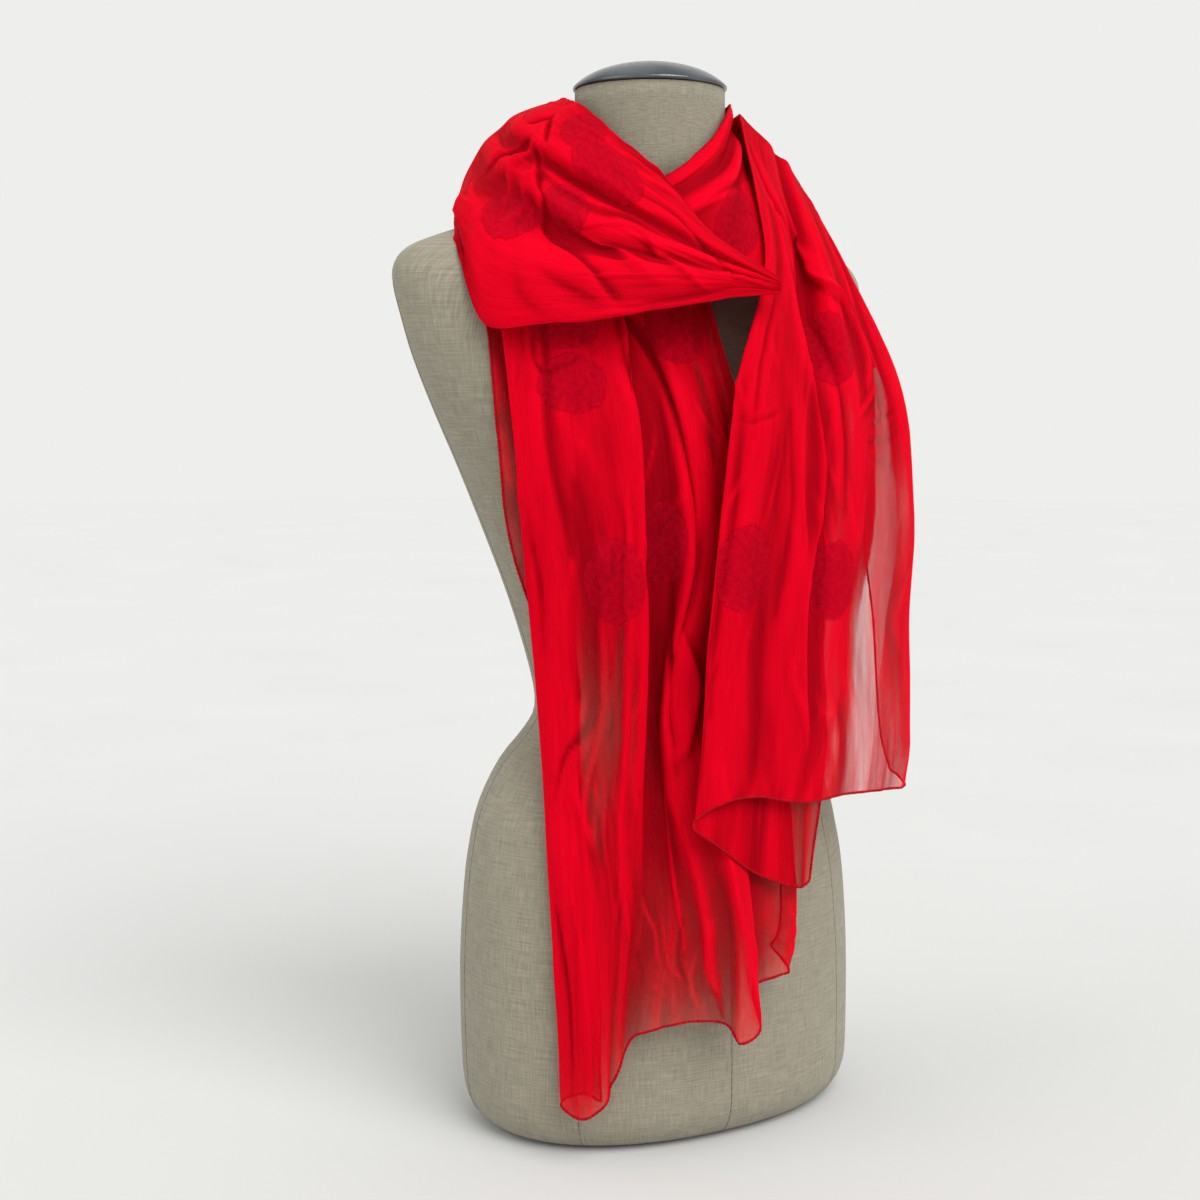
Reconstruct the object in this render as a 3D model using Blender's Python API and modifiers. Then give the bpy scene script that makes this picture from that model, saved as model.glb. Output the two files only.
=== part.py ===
"""Felted chiffon scarf, wound once round the neck of a limbless linen dress form.

The frame: +Z is up, the form faces -Y, and the origin is the middle of the flat base.
Metres in the scene; the tables below are in millimetres and MM turns them into metres.

The cloth hangs on the form turned to one side, so its tables use the drape's own axes:
x runs across the hang, y runs from the chest (negative) to the back, z is height.
DRAPE_TURN turns those axes into the form's.
"""
import bmesh
import bpy
import math
from mathutils import Matrix, Vector

MM = 0.001
WALL = 1.2          # thickness of the cloth
FELT = 1.6          # thickness of a felted dot
DOT_CLEARANCE = 0.5 # from the cloth's face to a dot
DOT_CUT_DEPTH = 24  # reach of the oval cutter through the cloth
GAP = 0.3           # clearance between pieces that touch
SEAM = 0.8          # how far one stretch is drawn back from the next
OUTER_STEPS = 20    # steps across the outer wrap
DRAPE_TURN = math.radians(30)
NECK_X = -5         # neck axis, in the drape's axes
NECK_Y = 9
FORM_SEGMENTS = 48
RIM_Z = 783         # top of the linen neck
CAP_RADIUS = 58.5
CAP_RISE = 21

# height, half width, front depth, back depth, centre y, roundness power
FORM_ROWS = (
    (0, 132, 84, 84, -8, 2.2),
    (3, 143, 94, 96, -8, 2.2),
    (10, 152, 102, 105, -8, 2.2),
    (24, 158, 108, 110, -8, 2.2),
    (50, 160, 110, 113, -7, 2.2),
    (120, 161, 110, 114, -6, 2.15),
    (180, 158, 106, 112, -6, 2.1),
    (215, 153, 100, 107, -5, 2.1),
    (245, 146, 95, 100, -4, 2.05),
    (275, 128, 86, 92, 0, 2.0),
    (297, 106, 80, 84, 2, 2.0),
    (315, 96, 78, 80, 2, 2.0),
    (345, 100, 84, 80, 3, 2.0),
    (400, 117, 98, 84, 5, 2.0),
    (450, 135, 112, 88, 8, 2.1),
    (500, 155, 116, 90, 12, 2.1),
    (540, 172, 108, 90, 16, 2.1),
    (580, 187, 92, 86, 20, 2.2),
    (610, 195, 80, 78, 24, 2.3),
    (635, 201, 66, 68, 26, 2.4),
    (650, 200, 56, 58, 28, 2.4),
    (662, 190, 48, 50, 28, 2.3),
    (672, 166, 46, 46, 26, 2.2),
    (683, 132, 48, 46, 23, 2.1),
    (695, 102, 53, 48, 19, 2.0),
    (708, 80, 56, 50, 15, 2.0),
    (724, 66, 58, 54, 12, 2.0),
    (745, 59, 57, 56, 11, 2.0),
    (RIM_Z, 57, 57, 57, 10, 2.0),
)

# Each fold line of the long tail, from one side edge to the other.
# Columns: x and y at heights 655, 600, 520, 440, 320 and 180, then x, y and z at the hem.
LONG_LEVELS = (655, 600, 520, 440, 320, 180)
LONG_FOLDS = (
    ("side edge", -132, -98, -119, -109, -111, -118, -101, -115, -62, -110, -42, -138, -38, -143, 46),
    ("inner turn", -108, -97, -92, -109, -68, -120, -58, -113, -56, -103, -56, -133, -51, -141, 51),
    ("left turn", -118, -102, -108, -114, -99, -125, -92, -121, -84, -112, -74, -137, -67, -146, 46),
    ("tube front", -94, -102, -88, -117, -82, -132, -74, -128, -66, -126, -58, -149, -52, -157, 38),
    ("tube ridge", -70, -98, -64, -118, -54, -133, -46, -127, -42, -124, -36, -150, -34, -156, 50),
    ("panel front", -46, -88, -38, -114, -25, -132, -18, -131, -20, -124, -22, -145, -26, -150, 72),
    ("panel edge", -32, -80, -21, -109, -8, -128, -6, -127, -5, -118, -13, -138, -16, -143, 93),
    ("valley wall", -36, -74, -27, -101, -16, -118, -14, -117, -8, -104, 0, -134, -4, -141, 99),
    ("valley floor", -18, -70, -8, -95, 5, -113, 10, -113, 4, -98, 16, -133, 14, -142, 104),
    ("ridge", -6, -70, 4, -97, 20, -121, 27, -122, 8, -116, 34, -134, 34, -139, 106),
    ("twist", 4, -64, 15, -94, 31, -118, 35, -118, 22, -116, 52, -136, 52, -137, 103),
    ("horn front", 14, -58, 24, -88, 40, -112, 45, -111, 38, -104, 61, -143, 62, -147, 92),
    ("horn turn", 20, -52, 31, -83, 48, -106, 55, -107, 54, -98, 71, -134, 77, -140, 101),
    ("horn back", 22, -46, 36, -78, 53, -101, 63, -102, 66, -92, 71, -122, 73, -128, 127),
    ("strip", 26, -42, 41, -75, 60, -97, 71, -98, 80, -88, 90, -107, 90, -120, 134),
    ("right turn", 31, -37, 46, -70, 67, -92, 79, -93, 94, -82, 106, -97, 99, -115, 137),
    ("far edge", 28, -31, 42, -64, 62, -84, 74, -86, 88, -75, 94, -92, 86, -106, 152),
)

# Each fold line of the short tail, from its outer side edge to its hidden one.
# Columns: x, y, z on the shoulder, x and y at heights 650, 560, 470, 380 and 300, then x, y, z at the hem.
SHORT_LEVELS = (650, 560, 470, 380, 300)
SHORT_FOLDS = (
    ("side edge", 115, 88, 706, 143, 28, 160, 8, 158, -8, 169, -6, 175, -8, 184, -4, 264),
    ("outer turn", 120, 80, 712, 148, 22, 187, 0, 197, -10, 196, -8, 198, -10, 195, -10, 253),
    ("window", 115, 68, 720, 143, 8, 172, -24, 178, -36, 176, -36, 178, -36, 176, -36, 254),
    ("outer panel", 108, 56, 728, 134, -6, 154, -46, 160, -60, 154, -64, 154, -64, 152, -64, 258),
    ("outer ridge", 102, 44, 736, 124, -22, 136, -68, 138, -82, 132, -88, 132, -88, 130, -90, 260),
    ("crease", 93, 40, 740, 108, -12, 113, -72, 117, -90, 115, -94, 113, -102, 108, -112, 261),
    ("inner ridge", 88, 30, 747, 102, -36, 104, -92, 102, -108, 97, -112, 96, -116, 90, -122, 265),
    ("inner panel", 80, 20, 754, 95, -54, 88, -108, 80, -122, 74, -124, 74, -126, 72, -130, 269),
    ("front", 74, 12, 760, 86, -70, 69, -122, 58, -134, 49, -137, 46, -139, 48, -142, 266),
    ("inner turn", 69, 8, 764, 79, -75, 57, -124, 45, -134, 36, -137, 32, -140, 27, -149, 252),
    ("back fold", 70, 18, 757, 90, -58, 68, -112, 59, -123, 52, -126, 50, -130, 44, -140, 236),
    ("back panel", 79, 32, 747, 99, -38, 88, -96, 83, -110, 79, -113, 79, -116, 74, -124, 211),
    ("back drop", 88, 50, 736, 110, -4, 108, -62, 109, -80, 107, -86, 108, -98, 106, -108, 197),
    ("hidden edge", 97, 66, 724, 118, 4, 124, -50, 125, -66, 124, -74, 126, -86, 115, -100, 201),
)

# Angles round the neck, in degrees from the chest, positive towards +x of the drape.
COWL_ANGLES = (38, 24, 8, -10, -28, -42, -54, -68, -90)
# Each fold line of the cowl, from its neck edge to its lower edge: radius and height at each angle.
COWL_FOLDS = (
    ("neck edge", 147, 637, 112, 668, 85, 708, 77, 731, 73, 752, 70, 764, 68, 771, 66, 775, 66, 778),
    ("band", 149, 635, 122, 663, 99, 697, 94, 719, 93, 739, 91, 751, 90, 760, 89, 767, 86, 773),
    ("rolled ridge", 151, 633, 131, 654, 114, 678, 113, 698, 113, 718, 110, 733, 108, 745, 107, 755, 104, 766),
    ("under ridge", 150, 632, 130, 648, 114, 666, 110, 682, 108, 702, 108, 718, 110, 730, 112, 741, 114, 757),
    ("second ridge", 151, 631, 139, 643, 131, 657, 132, 669, 128, 686, 124, 704, 122, 719, 123, 732, 126, 747),
    ("second valley", 150, 630, 140, 637, 133, 645, 130, 653, 127, 666, 126, 684, 128, 702, 132, 716, 135, 733),
    ("belly top", 151, 629, 147, 635, 145, 639, 148, 642, 153, 653, 153, 668, 150, 688, 148, 702, 143, 717),
    ("belly", 151, 627, 149, 629, 149, 627, 155, 625, 166, 631, 170, 640, 164, 668, 155, 690, 147, 699),
    ("lower edge", 149, 625, 147, 622, 147, 615, 154, 609, 168, 602, 176, 605, 175, 659, 159, 688, 146, 684),
    ("turned under", 144, 627, 142, 625, 141, 621, 147, 617, 161, 611, 170, 613, 172, 670, 152, 691, 138, 680),
)

# The outer wrap behind the neck runs from the cowl's last section to the short tail's first.
BACK_ANGLES = (-125, -160, -195, -215, -232)
BACK_FOLDS = (
    ("neck edge", 66, 776, 66, 774, 67, 771, 80, 753, 102, 734),
    ("band", 78, 774, 76, 772, 74, 772, 72, 764, 86, 748),
    ("first ridge", 92, 766, 89, 762, 84, 765, 72, 773, 74, 760),
    ("first valley", 97, 752, 91, 748, 88, 750, 85, 769, 75, 768),
    ("second ridge", 109, 742, 103, 736, 99, 738, 96, 757, 83, 767),
    ("second valley", 112, 726, 104, 720, 101, 722, 100, 743, 93, 758),
    ("third ridge", 122, 714, 115, 706, 111, 707, 110, 730, 105, 749),
    ("third valley", 122, 698, 114, 690, 112, 692, 116, 713, 118, 736),
    ("lower edge", 126, 682, 120, 673, 122, 680, 128, 700, 132, 722),
    ("turned under", 118, 674, 112, 667, 116, 674, 125, 694, 136, 711),
)

# The inner wrap: from the hidden left front, behind the neck, down to the crossing at the chest.
INNER_ANGLES = (-62, -100, -140, -180, -220, -250, -270, -290, -310, -326, -344, -366)
INNER_FOLDS = (
    ("neck edge", 61, 768, 61, 772, 61, 772, 61, 772, 61, 772, 61, 773, 61, 773,
     61, 762, 62, 744, 64, 731, 71, 716, 78, 702),
    ("first ridge", 64, 762, 64, 765, 64, 765, 64, 765, 64, 765, 64, 767, 64, 766,
     65, 755, 69, 737, 74, 724, 79, 709, 84, 694),
    ("first valley", 62, 752, 62, 754, 62, 754, 62, 754, 62, 755, 62, 757, 62, 756,
     65, 744, 71, 726, 77, 713, 82, 699, 86, 684),
    ("second ridge", 67, 744, 66, 746, 66, 745, 66, 745, 66, 746, 67, 749, 68, 746,
     73, 735, 82, 716, 88, 703, 92, 687, 94, 671),
    ("second valley", 68, 735, 66, 736, 66, 735, 66, 735, 66, 736, 67, 741, 68, 737,
     74, 725, 85, 704, 93, 690, 96, 673, 98, 658),
    ("third ridge", 73, 729, 71, 728, 70, 726, 70, 726, 71, 728, 72, 734, 74, 729,
     80, 714, 97, 686, 106, 668, 107, 655, 107, 644),
    ("lower edge", 77, 725, 74, 721, 73, 718, 73, 718, 74, 721, 77, 728, 79, 722,
     86, 703, 109, 665, 118, 646, 114, 639, 112, 632),
)

# Felted dots. Columns: panel, place across and along it (0 to 1), size across and along it,
# and the face it shows on (1 for the grid's outer face, -1 for the other).
DOTS = (
    ("cowl_front", 0.13, 0.56, 30, 32, 1),
    ("cowl_front", 0.17, 0.38, 38, 52, 1),
    ("cowl_front", 0.43, 0.50, 36, 40, 1),
    ("cowl_front", 0.63, 0.67, 48, 40, 1),
    ("wrap_inner", 0.80, 0.79, 44, 44, 1),
    ("wrap_outer", 0.40, 0.24, 50, 46, 1),
    ("wrap_outer", 0.68, 0.50, 50, 46, 1),
    ("tail_long", 0.24, 0.14, 46, 34, 1),
    ("tail_long", 0.24, 0.24, 46, 44, 1),
    ("tail_long", 0.63, 0.17, 36, 46, 1),
    ("tail_long", 0.27, 0.53, 40, 60, 1),
    ("tail_long", 0.50, 0.45, 20, 56, 1),
    ("tail_short", 0.28, 0.28, 32, 50, -1),
    ("tail_short", 0.31, 0.58, 44, 62, -1),
    ("tail_short", 0.56, 0.57, 42, 62, -1),
    ("tail_short", 0.84, 0.52, 46, 60, -1),
)
DOT_SIDES = 16


def form_point(x, y, z):
    """A point of the drape's axes, in millimetres, as a point of the form's, in metres."""
    c = math.cos(DRAPE_TURN)
    s = math.sin(DRAPE_TURN)
    return Vector((c * x + s * y, -s * x + c * y, z)) * MM


def neck_point(angle, radius, z):
    """A point round the neck axis: angle in degrees from the chest."""
    turn = math.radians(angle)
    return form_point(NECK_X + radius * math.sin(turn), NECK_Y - radius * math.cos(turn), z)


def spline(points, steps):
    """Catmull-Rom curve through the points, with the given number of steps over its whole length."""
    out = []
    last = len(points) - 1
    for k in range(steps + 1):
        place = last * k / steps
        i = min(int(place), last - 1)
        t = place - i
        p0 = points[max(i - 1, 0)]
        p1 = points[i]
        p2 = points[i + 1]
        p3 = points[min(i + 2, last)]
        out.append(0.5 * (2 * p1 + (p2 - p0) * t
                          + (2 * p0 - 5 * p1 + 4 * p2 - p3) * t ** 2
                          + (3 * p1 - p0 - 3 * p2 + p3) * t ** 3))
    return out


def sheet_grid(sections, across, along):
    """Grid of points through the sections: grid[row along][column across]."""
    ribs = [spline(section, across) for section in sections]
    strands = [spline([rib[i] for rib in ribs], along) for i in range(across + 1)]
    return [[strand[j] for strand in strands] for j in range(along + 1)]


def trim_start(grid, cut):
    """Draw the grid's first row in along the cloth, to leave a seam."""
    grid[0] = [first + (second - first).normalized() * cut * MM for first, second in zip(grid[0], grid[1])]


def level_sections(folds, levels, shoulder):
    """Sections of a hanging tail: one on the shoulder if it has one, one a level, one at the hem."""
    sections = []
    start = 1
    if shoulder:
        sections.append([form_point(*fold[1:4]) for fold in folds])
        start = 4
    for k, z in enumerate(levels):
        column = start + 2 * k
        sections.append([form_point(fold[column], fold[column + 1], z) for fold in folds])
    sections.append([form_point(*fold[-3:]) for fold in folds])
    return sections


def ring_sections(folds, angles):
    """Sections of a stretch that goes round the neck, one for each angle."""
    return [[neck_point(angle, fold[1 + 2 * k], fold[2 + 2 * k]) for fold in folds]
            for k, angle in enumerate(angles)]


def material(name, colour, roughness, metallic=0.0):
    """A plain Principled material."""
    made = bpy.data.materials.new(name)
    made.use_nodes = True
    shader = made.node_tree.nodes["Principled BSDF"]
    shader.inputs["Base Color"].default_value = (*colour, 1.0)
    shader.inputs["Roughness"].default_value = roughness
    shader.inputs["Metallic"].default_value = metallic
    return made


def add_mesh(name, points, faces, surface, collection):
    """A named object from points and faces, shaded smooth."""
    mesh = bpy.data.meshes.new(name)
    mesh.from_pydata(points, [], faces)
    mesh.materials.append(surface)
    mesh.shade_smooth()
    piece = bpy.data.objects.new(name, mesh)
    collection.objects.link(piece)
    return piece


def grid_faces(rows, columns):
    """Quads of a grid of rows by columns points."""
    return [(j * columns + i, (j + 1) * columns + i, (j + 1) * columns + i + 1, j * columns + i + 1)
            for j in range(rows - 1) for i in range(columns - 1)]


def add_sheet(name, grid, thickness, surface, collection):
    """A wall of cloth: the open grid, thickened evenly to both sides."""
    rows = len(grid)
    columns = len(grid[0])
    points = [point for row in grid for point in row]
    piece = add_mesh(name, points, grid_faces(rows, columns), surface, collection)
    wall = piece.modifiers.new("wall", 'SOLIDIFY')
    wall.thickness = thickness * MM
    wall.offset = 0
    return piece


def form_section(row):
    """Points of one level section of the form."""
    z, half_width, front, back, middle, power = row
    points = []
    for k in range(FORM_SEGMENTS):
        turn = 2 * math.pi * k / FORM_SEGMENTS
        c = math.cos(turn)
        s = math.sin(turn)
        depth = front if s < 0 else back
        x = half_width * math.copysign(abs(c) ** (2 / power), c)
        y = middle + depth * math.copysign(abs(s) ** (2 / power), s)
        points.append(Vector((x, y, z)) * MM)
    return points


def add_form(surface, collection):
    """The linen body: a loft through its level sections, flat at the base and at the neck rim."""
    points = [point for row in FORM_ROWS for point in form_section(row)]
    n = FORM_SEGMENTS
    levels = len(FORM_ROWS)
    faces = [(j * n + i, j * n + (i + 1) % n, (j + 1) * n + (i + 1) % n, (j + 1) * n + i)
             for j in range(levels - 1) for i in range(n)]
    faces.append(tuple(reversed(range(n))))
    faces.append(tuple((levels - 1) * n + i for i in range(n)))
    body = add_mesh("form_body", points, faces, surface, collection)
    body.data.set_sharp_from_angle(angle=math.radians(50))


def add_cap(surface, collection):
    """The turned metal cap on the neck: a short skirt, a rolled rim and a low dome."""
    base = RIM_Z + GAP
    profile = [(0.0, base + CAP_RISE)]
    steps = 7
    for k in range(1, steps + 1):
        turn = math.radians(90) * k / steps
        dome_radius = (CAP_RADIUS - 4) * math.sin(turn)
        profile.append((dome_radius, base + 8 + (CAP_RISE - 8) * math.cos(turn)))
    profile += [(CAP_RADIUS - 0.5, base + 6.5), (CAP_RADIUS, base + 4), (CAP_RADIUS - 0.5, base + 1)]
    profile += [(CAP_RADIUS - 2, base), (0.0, base)]
    mesh = bpy.data.meshes.new("neck_cap")
    shape = bmesh.new()
    ring = [shape.verts.new((x * MM, 0, z * MM)) for x, z in profile]
    for a, b in zip(ring, ring[1:]):
        shape.edges.new((a, b))
    shape.to_mesh(mesh)
    shape.free()
    mesh.materials.append(surface)
    cap = bpy.data.objects.new("neck_cap", mesh)
    cap.location = (0, 10 * MM, 0)
    collection.objects.link(cap)
    turned = cap.modifiers.new("turn", 'SCREW')
    turned.steps = 48
    turned.render_steps = 48
    turned.use_merge_vertices = True
    turned.merge_threshold = 0.00001
    turned.use_smooth_shade = True


def grid_normal(grid, j, i):
    """Unit normal of the grid at row j and column i."""
    rows = len(grid) - 1
    columns = len(grid[0]) - 1
    along = grid[min(j + 1, rows)][i] - grid[max(j - 1, 0)][i]
    across = grid[j][min(i + 1, columns)] - grid[j][max(i - 1, 0)]
    return along.cross(across).normalized()


def steps_within(lengths, middle, reach):
    """First and last index that take in the reach to both sides of the middle."""
    first = middle
    run = 0
    while first > 0 and run < reach * MM:
        first -= 1
        run += lengths[first]
    last = middle
    run = 0
    while last < len(lengths) and run < reach * MM:
        run += lengths[last]
        last += 1
    return first, last


def add_dot(name, grid, dot, surface, collection, cutters):
    """A felted dot: the cloth's own points, moved out and thickened, cut to an oval."""
    across, along, width, height, side = dot
    rows = len(grid) - 1
    columns = len(grid[0]) - 1
    j = round(along * rows)
    i = round(across * columns)
    crosswise = [(a - b).length for a, b in zip(grid[j], grid[j][1:])]
    lengthwise = [(grid[k][i] - grid[k + 1][i]).length for k in range(rows)]
    i0, i1 = steps_within(crosswise, i, width * 0.7)
    j0, j1 = steps_within(lengthwise, j, height * 0.7)
    lift = side * (WALL / 2 + DOT_CLEARANCE + FELT / 2) * MM
    patch = [[grid[r][c] + grid_normal(grid, r, c) * lift for c in range(i0, i1 + 1)]
             for r in range(j0, j1 + 1)]
    piece = add_sheet(name, patch, FELT, surface, collection)

    low = along * rows
    left = across * columns
    r = min(int(low), rows - 1)
    c = min(int(left), columns - 1)
    near = grid[r][c].lerp(grid[r][c + 1], left - c)
    far = grid[r + 1][c].lerp(grid[r + 1][c + 1], left - c)
    centre = near.lerp(far, low - r)
    out = grid_normal(grid, j, i)
    down = grid[min(j + 1, rows)][i] - grid[max(j - 1, 0)][i]
    down = (down - out * down.dot(out)).normalized()
    bpy.ops.mesh.primitive_cylinder_add(vertices=DOT_SIDES, radius=1, depth=DOT_CUT_DEPTH * MM)
    cutter = bpy.context.object
    cutter.name = "cut_" + name
    frame = Matrix((down.cross(out), down, out)).transposed().to_4x4()
    scale = Matrix.Diagonal((width * MM / 2, height * MM / 2, 1, 1))
    cutter.data.transform(Matrix.Translation(centre) @ frame @ scale)
    for holder in cutter.users_collection:
        holder.objects.unlink(cutter)
    cutters.objects.link(cutter)
    cutter.hide_render = True
    cutter.display_type = 'WIRE'
    trim = piece.modifiers.new("outline", 'BOOLEAN')
    trim.operation = 'INTERSECT'
    trim.object = cutter


def main():
    for old in list(bpy.data.objects):
        bpy.data.objects.remove(old, do_unlink=True)
    model = bpy.data.collections.new("felted_scarf_on_dress_form")
    bpy.context.scene.collection.children.link(model)
    cutters = bpy.data.collections.new("cutters")
    bpy.context.scene.collection.children.link(cutters)

    linen = material("linen", (0.42, 0.39, 0.33), 0.9)
    metal = material("cap_metal", (0.12, 0.12, 0.13), 0.25, 1.0)
    chiffon = material("chiffon", (0.85, 0.0, 0.015), 0.7)
    felt = material("felt", (0.5, 0.0, 0.012), 1.0)

    add_form(linen, model)
    add_cap(metal, model)

    cowl = ring_sections(COWL_FOLDS, COWL_ANGLES)
    short = level_sections(SHORT_FOLDS, SHORT_LEVELS, True)
    back = ring_sections(BACK_FOLDS, BACK_ANGLES)
    outer = [spline(section, OUTER_STEPS) for section in (cowl[-1], *back, short[0][::-1])]
    grids = {
        "tail_long": sheet_grid(level_sections(LONG_FOLDS, LONG_LEVELS, False), 36, 14),
        "tail_short": sheet_grid(short, 30, 14),
        "cowl_front": sheet_grid(cowl, 20, 18),
        "wrap_outer": sheet_grid(outer, OUTER_STEPS, 13),
        "wrap_inner": sheet_grid(ring_sections(INNER_FOLDS, INNER_ANGLES), 12, 22),
    }
    trim_start(grids["wrap_outer"], SEAM)
    trim_start(grids["tail_short"], SEAM)
    for name, grid in grids.items():
        add_sheet(name, grid, WALL, chiffon, model)
    for number, (panel, *dot) in enumerate(DOTS, start=1):
        add_dot(f"felt_dot_{number:02d}", grids[panel], dot, felt, model, cutters)


main()
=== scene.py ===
"""Looks of a red chiffon scarf with felted wool spots, wound once round a linen dress form."""
import math

import bmesh
import bpy
from mathutils import Matrix, Vector, noise


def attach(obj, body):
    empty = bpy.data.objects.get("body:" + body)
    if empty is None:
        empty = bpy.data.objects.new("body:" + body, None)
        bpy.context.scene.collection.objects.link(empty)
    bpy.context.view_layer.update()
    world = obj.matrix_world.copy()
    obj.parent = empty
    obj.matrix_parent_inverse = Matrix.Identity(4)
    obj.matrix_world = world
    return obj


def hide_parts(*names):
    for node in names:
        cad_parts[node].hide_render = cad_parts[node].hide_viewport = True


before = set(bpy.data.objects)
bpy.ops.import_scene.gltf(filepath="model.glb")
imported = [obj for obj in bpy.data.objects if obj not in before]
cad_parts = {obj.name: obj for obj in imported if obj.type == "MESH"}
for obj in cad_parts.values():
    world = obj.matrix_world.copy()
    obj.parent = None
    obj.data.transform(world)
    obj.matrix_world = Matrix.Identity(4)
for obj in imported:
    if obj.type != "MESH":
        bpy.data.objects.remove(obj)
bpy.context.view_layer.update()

# ---------------------------------------------------------------- linen body
# The limbless torso: a moulded papier-mache shell with linen drawn tight over it,
# cut in panels and sewn at the sides and down the front, and closed flat at the hips.

MM = 0.001

# height, half width, front depth, back depth, centre y, roundness power
FORM_ROWS = (
    (0, 132, 84, 84, -8, 2.2),
    (3, 143, 94, 96, -8, 2.2),
    (10, 152, 102, 105, -8, 2.2),
    (24, 158, 108, 110, -8, 2.2),
    (50, 160, 110, 113, -7, 2.2),
    (120, 161, 110, 114, -6, 2.15),
    (180, 158, 106, 112, -6, 2.1),
    (215, 153, 100, 107, -5, 2.1),
    (245, 146, 95, 100, -4, 2.05),
    (275, 128, 86, 92, 0, 2.0),
    (297, 106, 80, 84, 2, 2.0),
    (315, 96, 78, 80, 2, 2.0),
    (345, 100, 84, 80, 3, 2.0),
    (400, 117, 98, 84, 5, 2.0),
    (450, 135, 112, 88, 8, 2.1),
    (500, 155, 116, 90, 12, 2.1),
    (540, 172, 108, 90, 16, 2.1),
    (580, 187, 92, 86, 20, 2.2),
    (610, 195, 80, 78, 24, 2.3),
    (635, 201, 66, 68, 26, 2.4),
    (650, 200, 56, 58, 28, 2.4),
    (662, 190, 48, 50, 28, 2.3),
    (672, 166, 46, 46, 26, 2.2),
    (683, 132, 48, 46, 23, 2.1),
    (695, 102, 53, 48, 19, 2.0),
    (708, 80, 56, 50, 15, 2.0),
    (724, 66, 58, 54, 12, 2.0),
    (745, 59, 57, 56, 11, 2.0),
    (783, 57, 57, 57, 10, 2.0),
)
FORM_SEGMENTS = 144
ROW_STEPS = 3           # rings of the mesh from one row to the next
SEAM_HALF_WIDTH = 0.45
SEAM_RISE = 0.25
SIDE_SEAM = 6.6         # degrees behind the widest line
PRINCESS_SEAM = -46.0   # degrees forward of it
FRONT_SEAM = -90.0


def colour(hex_code):
    """A linear colour from an sRGB hex code."""
    parts = [int(hex_code[k:k + 2], 16) / 255 for k in (0, 2, 4)]
    return (*[p / 12.92 if p <= 0.04045 else ((p + 0.055) / 1.055) ** 2.4 for p in parts], 1.0)


def add_node(tree, kind, settings, links):
    """A node with its own settings, and each named socket given a value or another node's output."""
    made = tree.nodes.new(kind)
    for name, value in settings.items():
        setattr(made, name, value)
    for socket, value in links.items():
        if isinstance(value, bpy.types.NodeSocket):
            tree.links.new(value, made.inputs[socket])
        else:
            made.inputs[socket].default_value = value
    return made


def new_material(name):
    """A material with an empty tree and its output node."""
    made = bpy.data.materials.new(name)
    made.use_nodes = True
    made.node_tree.nodes.clear()
    return made, made.node_tree, made.node_tree.nodes.new("ShaderNodeOutputMaterial")


def spline(points, steps):
    """Catmull-Rom curve through the points, with the given number of steps over its whole length."""
    out = []
    last = len(points) - 1
    for k in range(steps + 1):
        place = last * k / steps
        i = min(int(place), last - 1)
        t = place - i
        p0 = points[max(i - 1, 0)]
        p1 = points[i]
        p2 = points[i + 1]
        p3 = points[min(i + 2, last)]
        out.append(0.5 * (2 * p1 + (p2 - p0) * t
                          + (2 * p0 - 5 * p1 + 4 * p2 - p3) * t ** 2
                          + (3 * p1 - p0 - 3 * p2 + p3) * t ** 3))
    return out


def finish_piece(shape, name, surface, smooth=True):
    """The bmesh as a finished object that rides with the form."""
    mesh = bpy.data.meshes.new(name)
    shape.to_mesh(mesh)
    shape.free()
    mesh.materials.append(surface)
    if smooth:
        mesh.shade_smooth()
    piece = bpy.data.objects.new(name, mesh)
    bpy.context.scene.collection.objects.link(piece)
    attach(piece, "root")
    return piece


def form_rows():
    """The rows of the form, made close together along smooth curves."""
    steps = ROW_STEPS * (len(FORM_ROWS) - 1)
    columns = [spline([Vector((row[k], 0)) for row in FORM_ROWS], steps) for k in range(6)]
    return [[column[j].x for column in columns] for j in range(steps + 1)]


fine_rows = form_rows()


def on_form(row, turn, lift=0.0):
    """A point of the form's skin at a row and an angle from its widest line."""
    z, half_width, front, back, middle, power = row
    c = math.cos(turn)
    s = math.sin(turn)
    x = half_width * math.copysign(abs(c) ** (2 / power), c)
    y = (front if s < 0 else back) * math.copysign(abs(s) ** (2 / power), s)
    out = Vector((x, y, 0)).normalized() * lift
    return (Vector((x, middle + y, z)) + out) * MM


def add_form(surface):
    """The torso: one ring drawn up row by row, closed at both ends."""
    shape = bmesh.new()
    uv = shape.loops.layers.uv.new("cloth")
    rings = [bmesh.ops.create_circle(shape, segments=FORM_SEGMENTS, radius=1)["verts"]]
    loop = shape.edges[:]
    for _ in fine_rows[1:]:
        drawn = bmesh.ops.extrude_edge_only(shape, edges=loop)["geom"]
        rings.append([v for v in drawn if isinstance(v, bmesh.types.BMVert)])
        loop = [e for e in drawn if isinstance(e, bmesh.types.BMEdge) and e.is_boundary]
    for row, ring in zip(fine_rows, rings):
        for v in ring:
            v.co = on_form(row, math.atan2(v.co.y, v.co.x))
    bmesh.ops.holes_fill(shape, edges=[e for e in shape.edges if e.is_boundary], sides=0)
    bmesh.ops.recalc_face_normals(shape, faces=shape.faces)
    for face in shape.faces:
        girth = 0.14
        turns = [math.atan2(corner.vert.co.y, corner.vert.co.x) for corner in face.loops]
        if max(turns) - min(turns) > math.pi:
            turns = [t + 2 * math.pi if t < 0 else t for t in turns]
        for corner, turn in zip(face.loops, turns):
            corner[uv].uv = (turn * girth, corner.vert.co.z)
    body = finish_piece(shape, "linen_body", surface)
    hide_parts("form_body")
    return body


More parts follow.
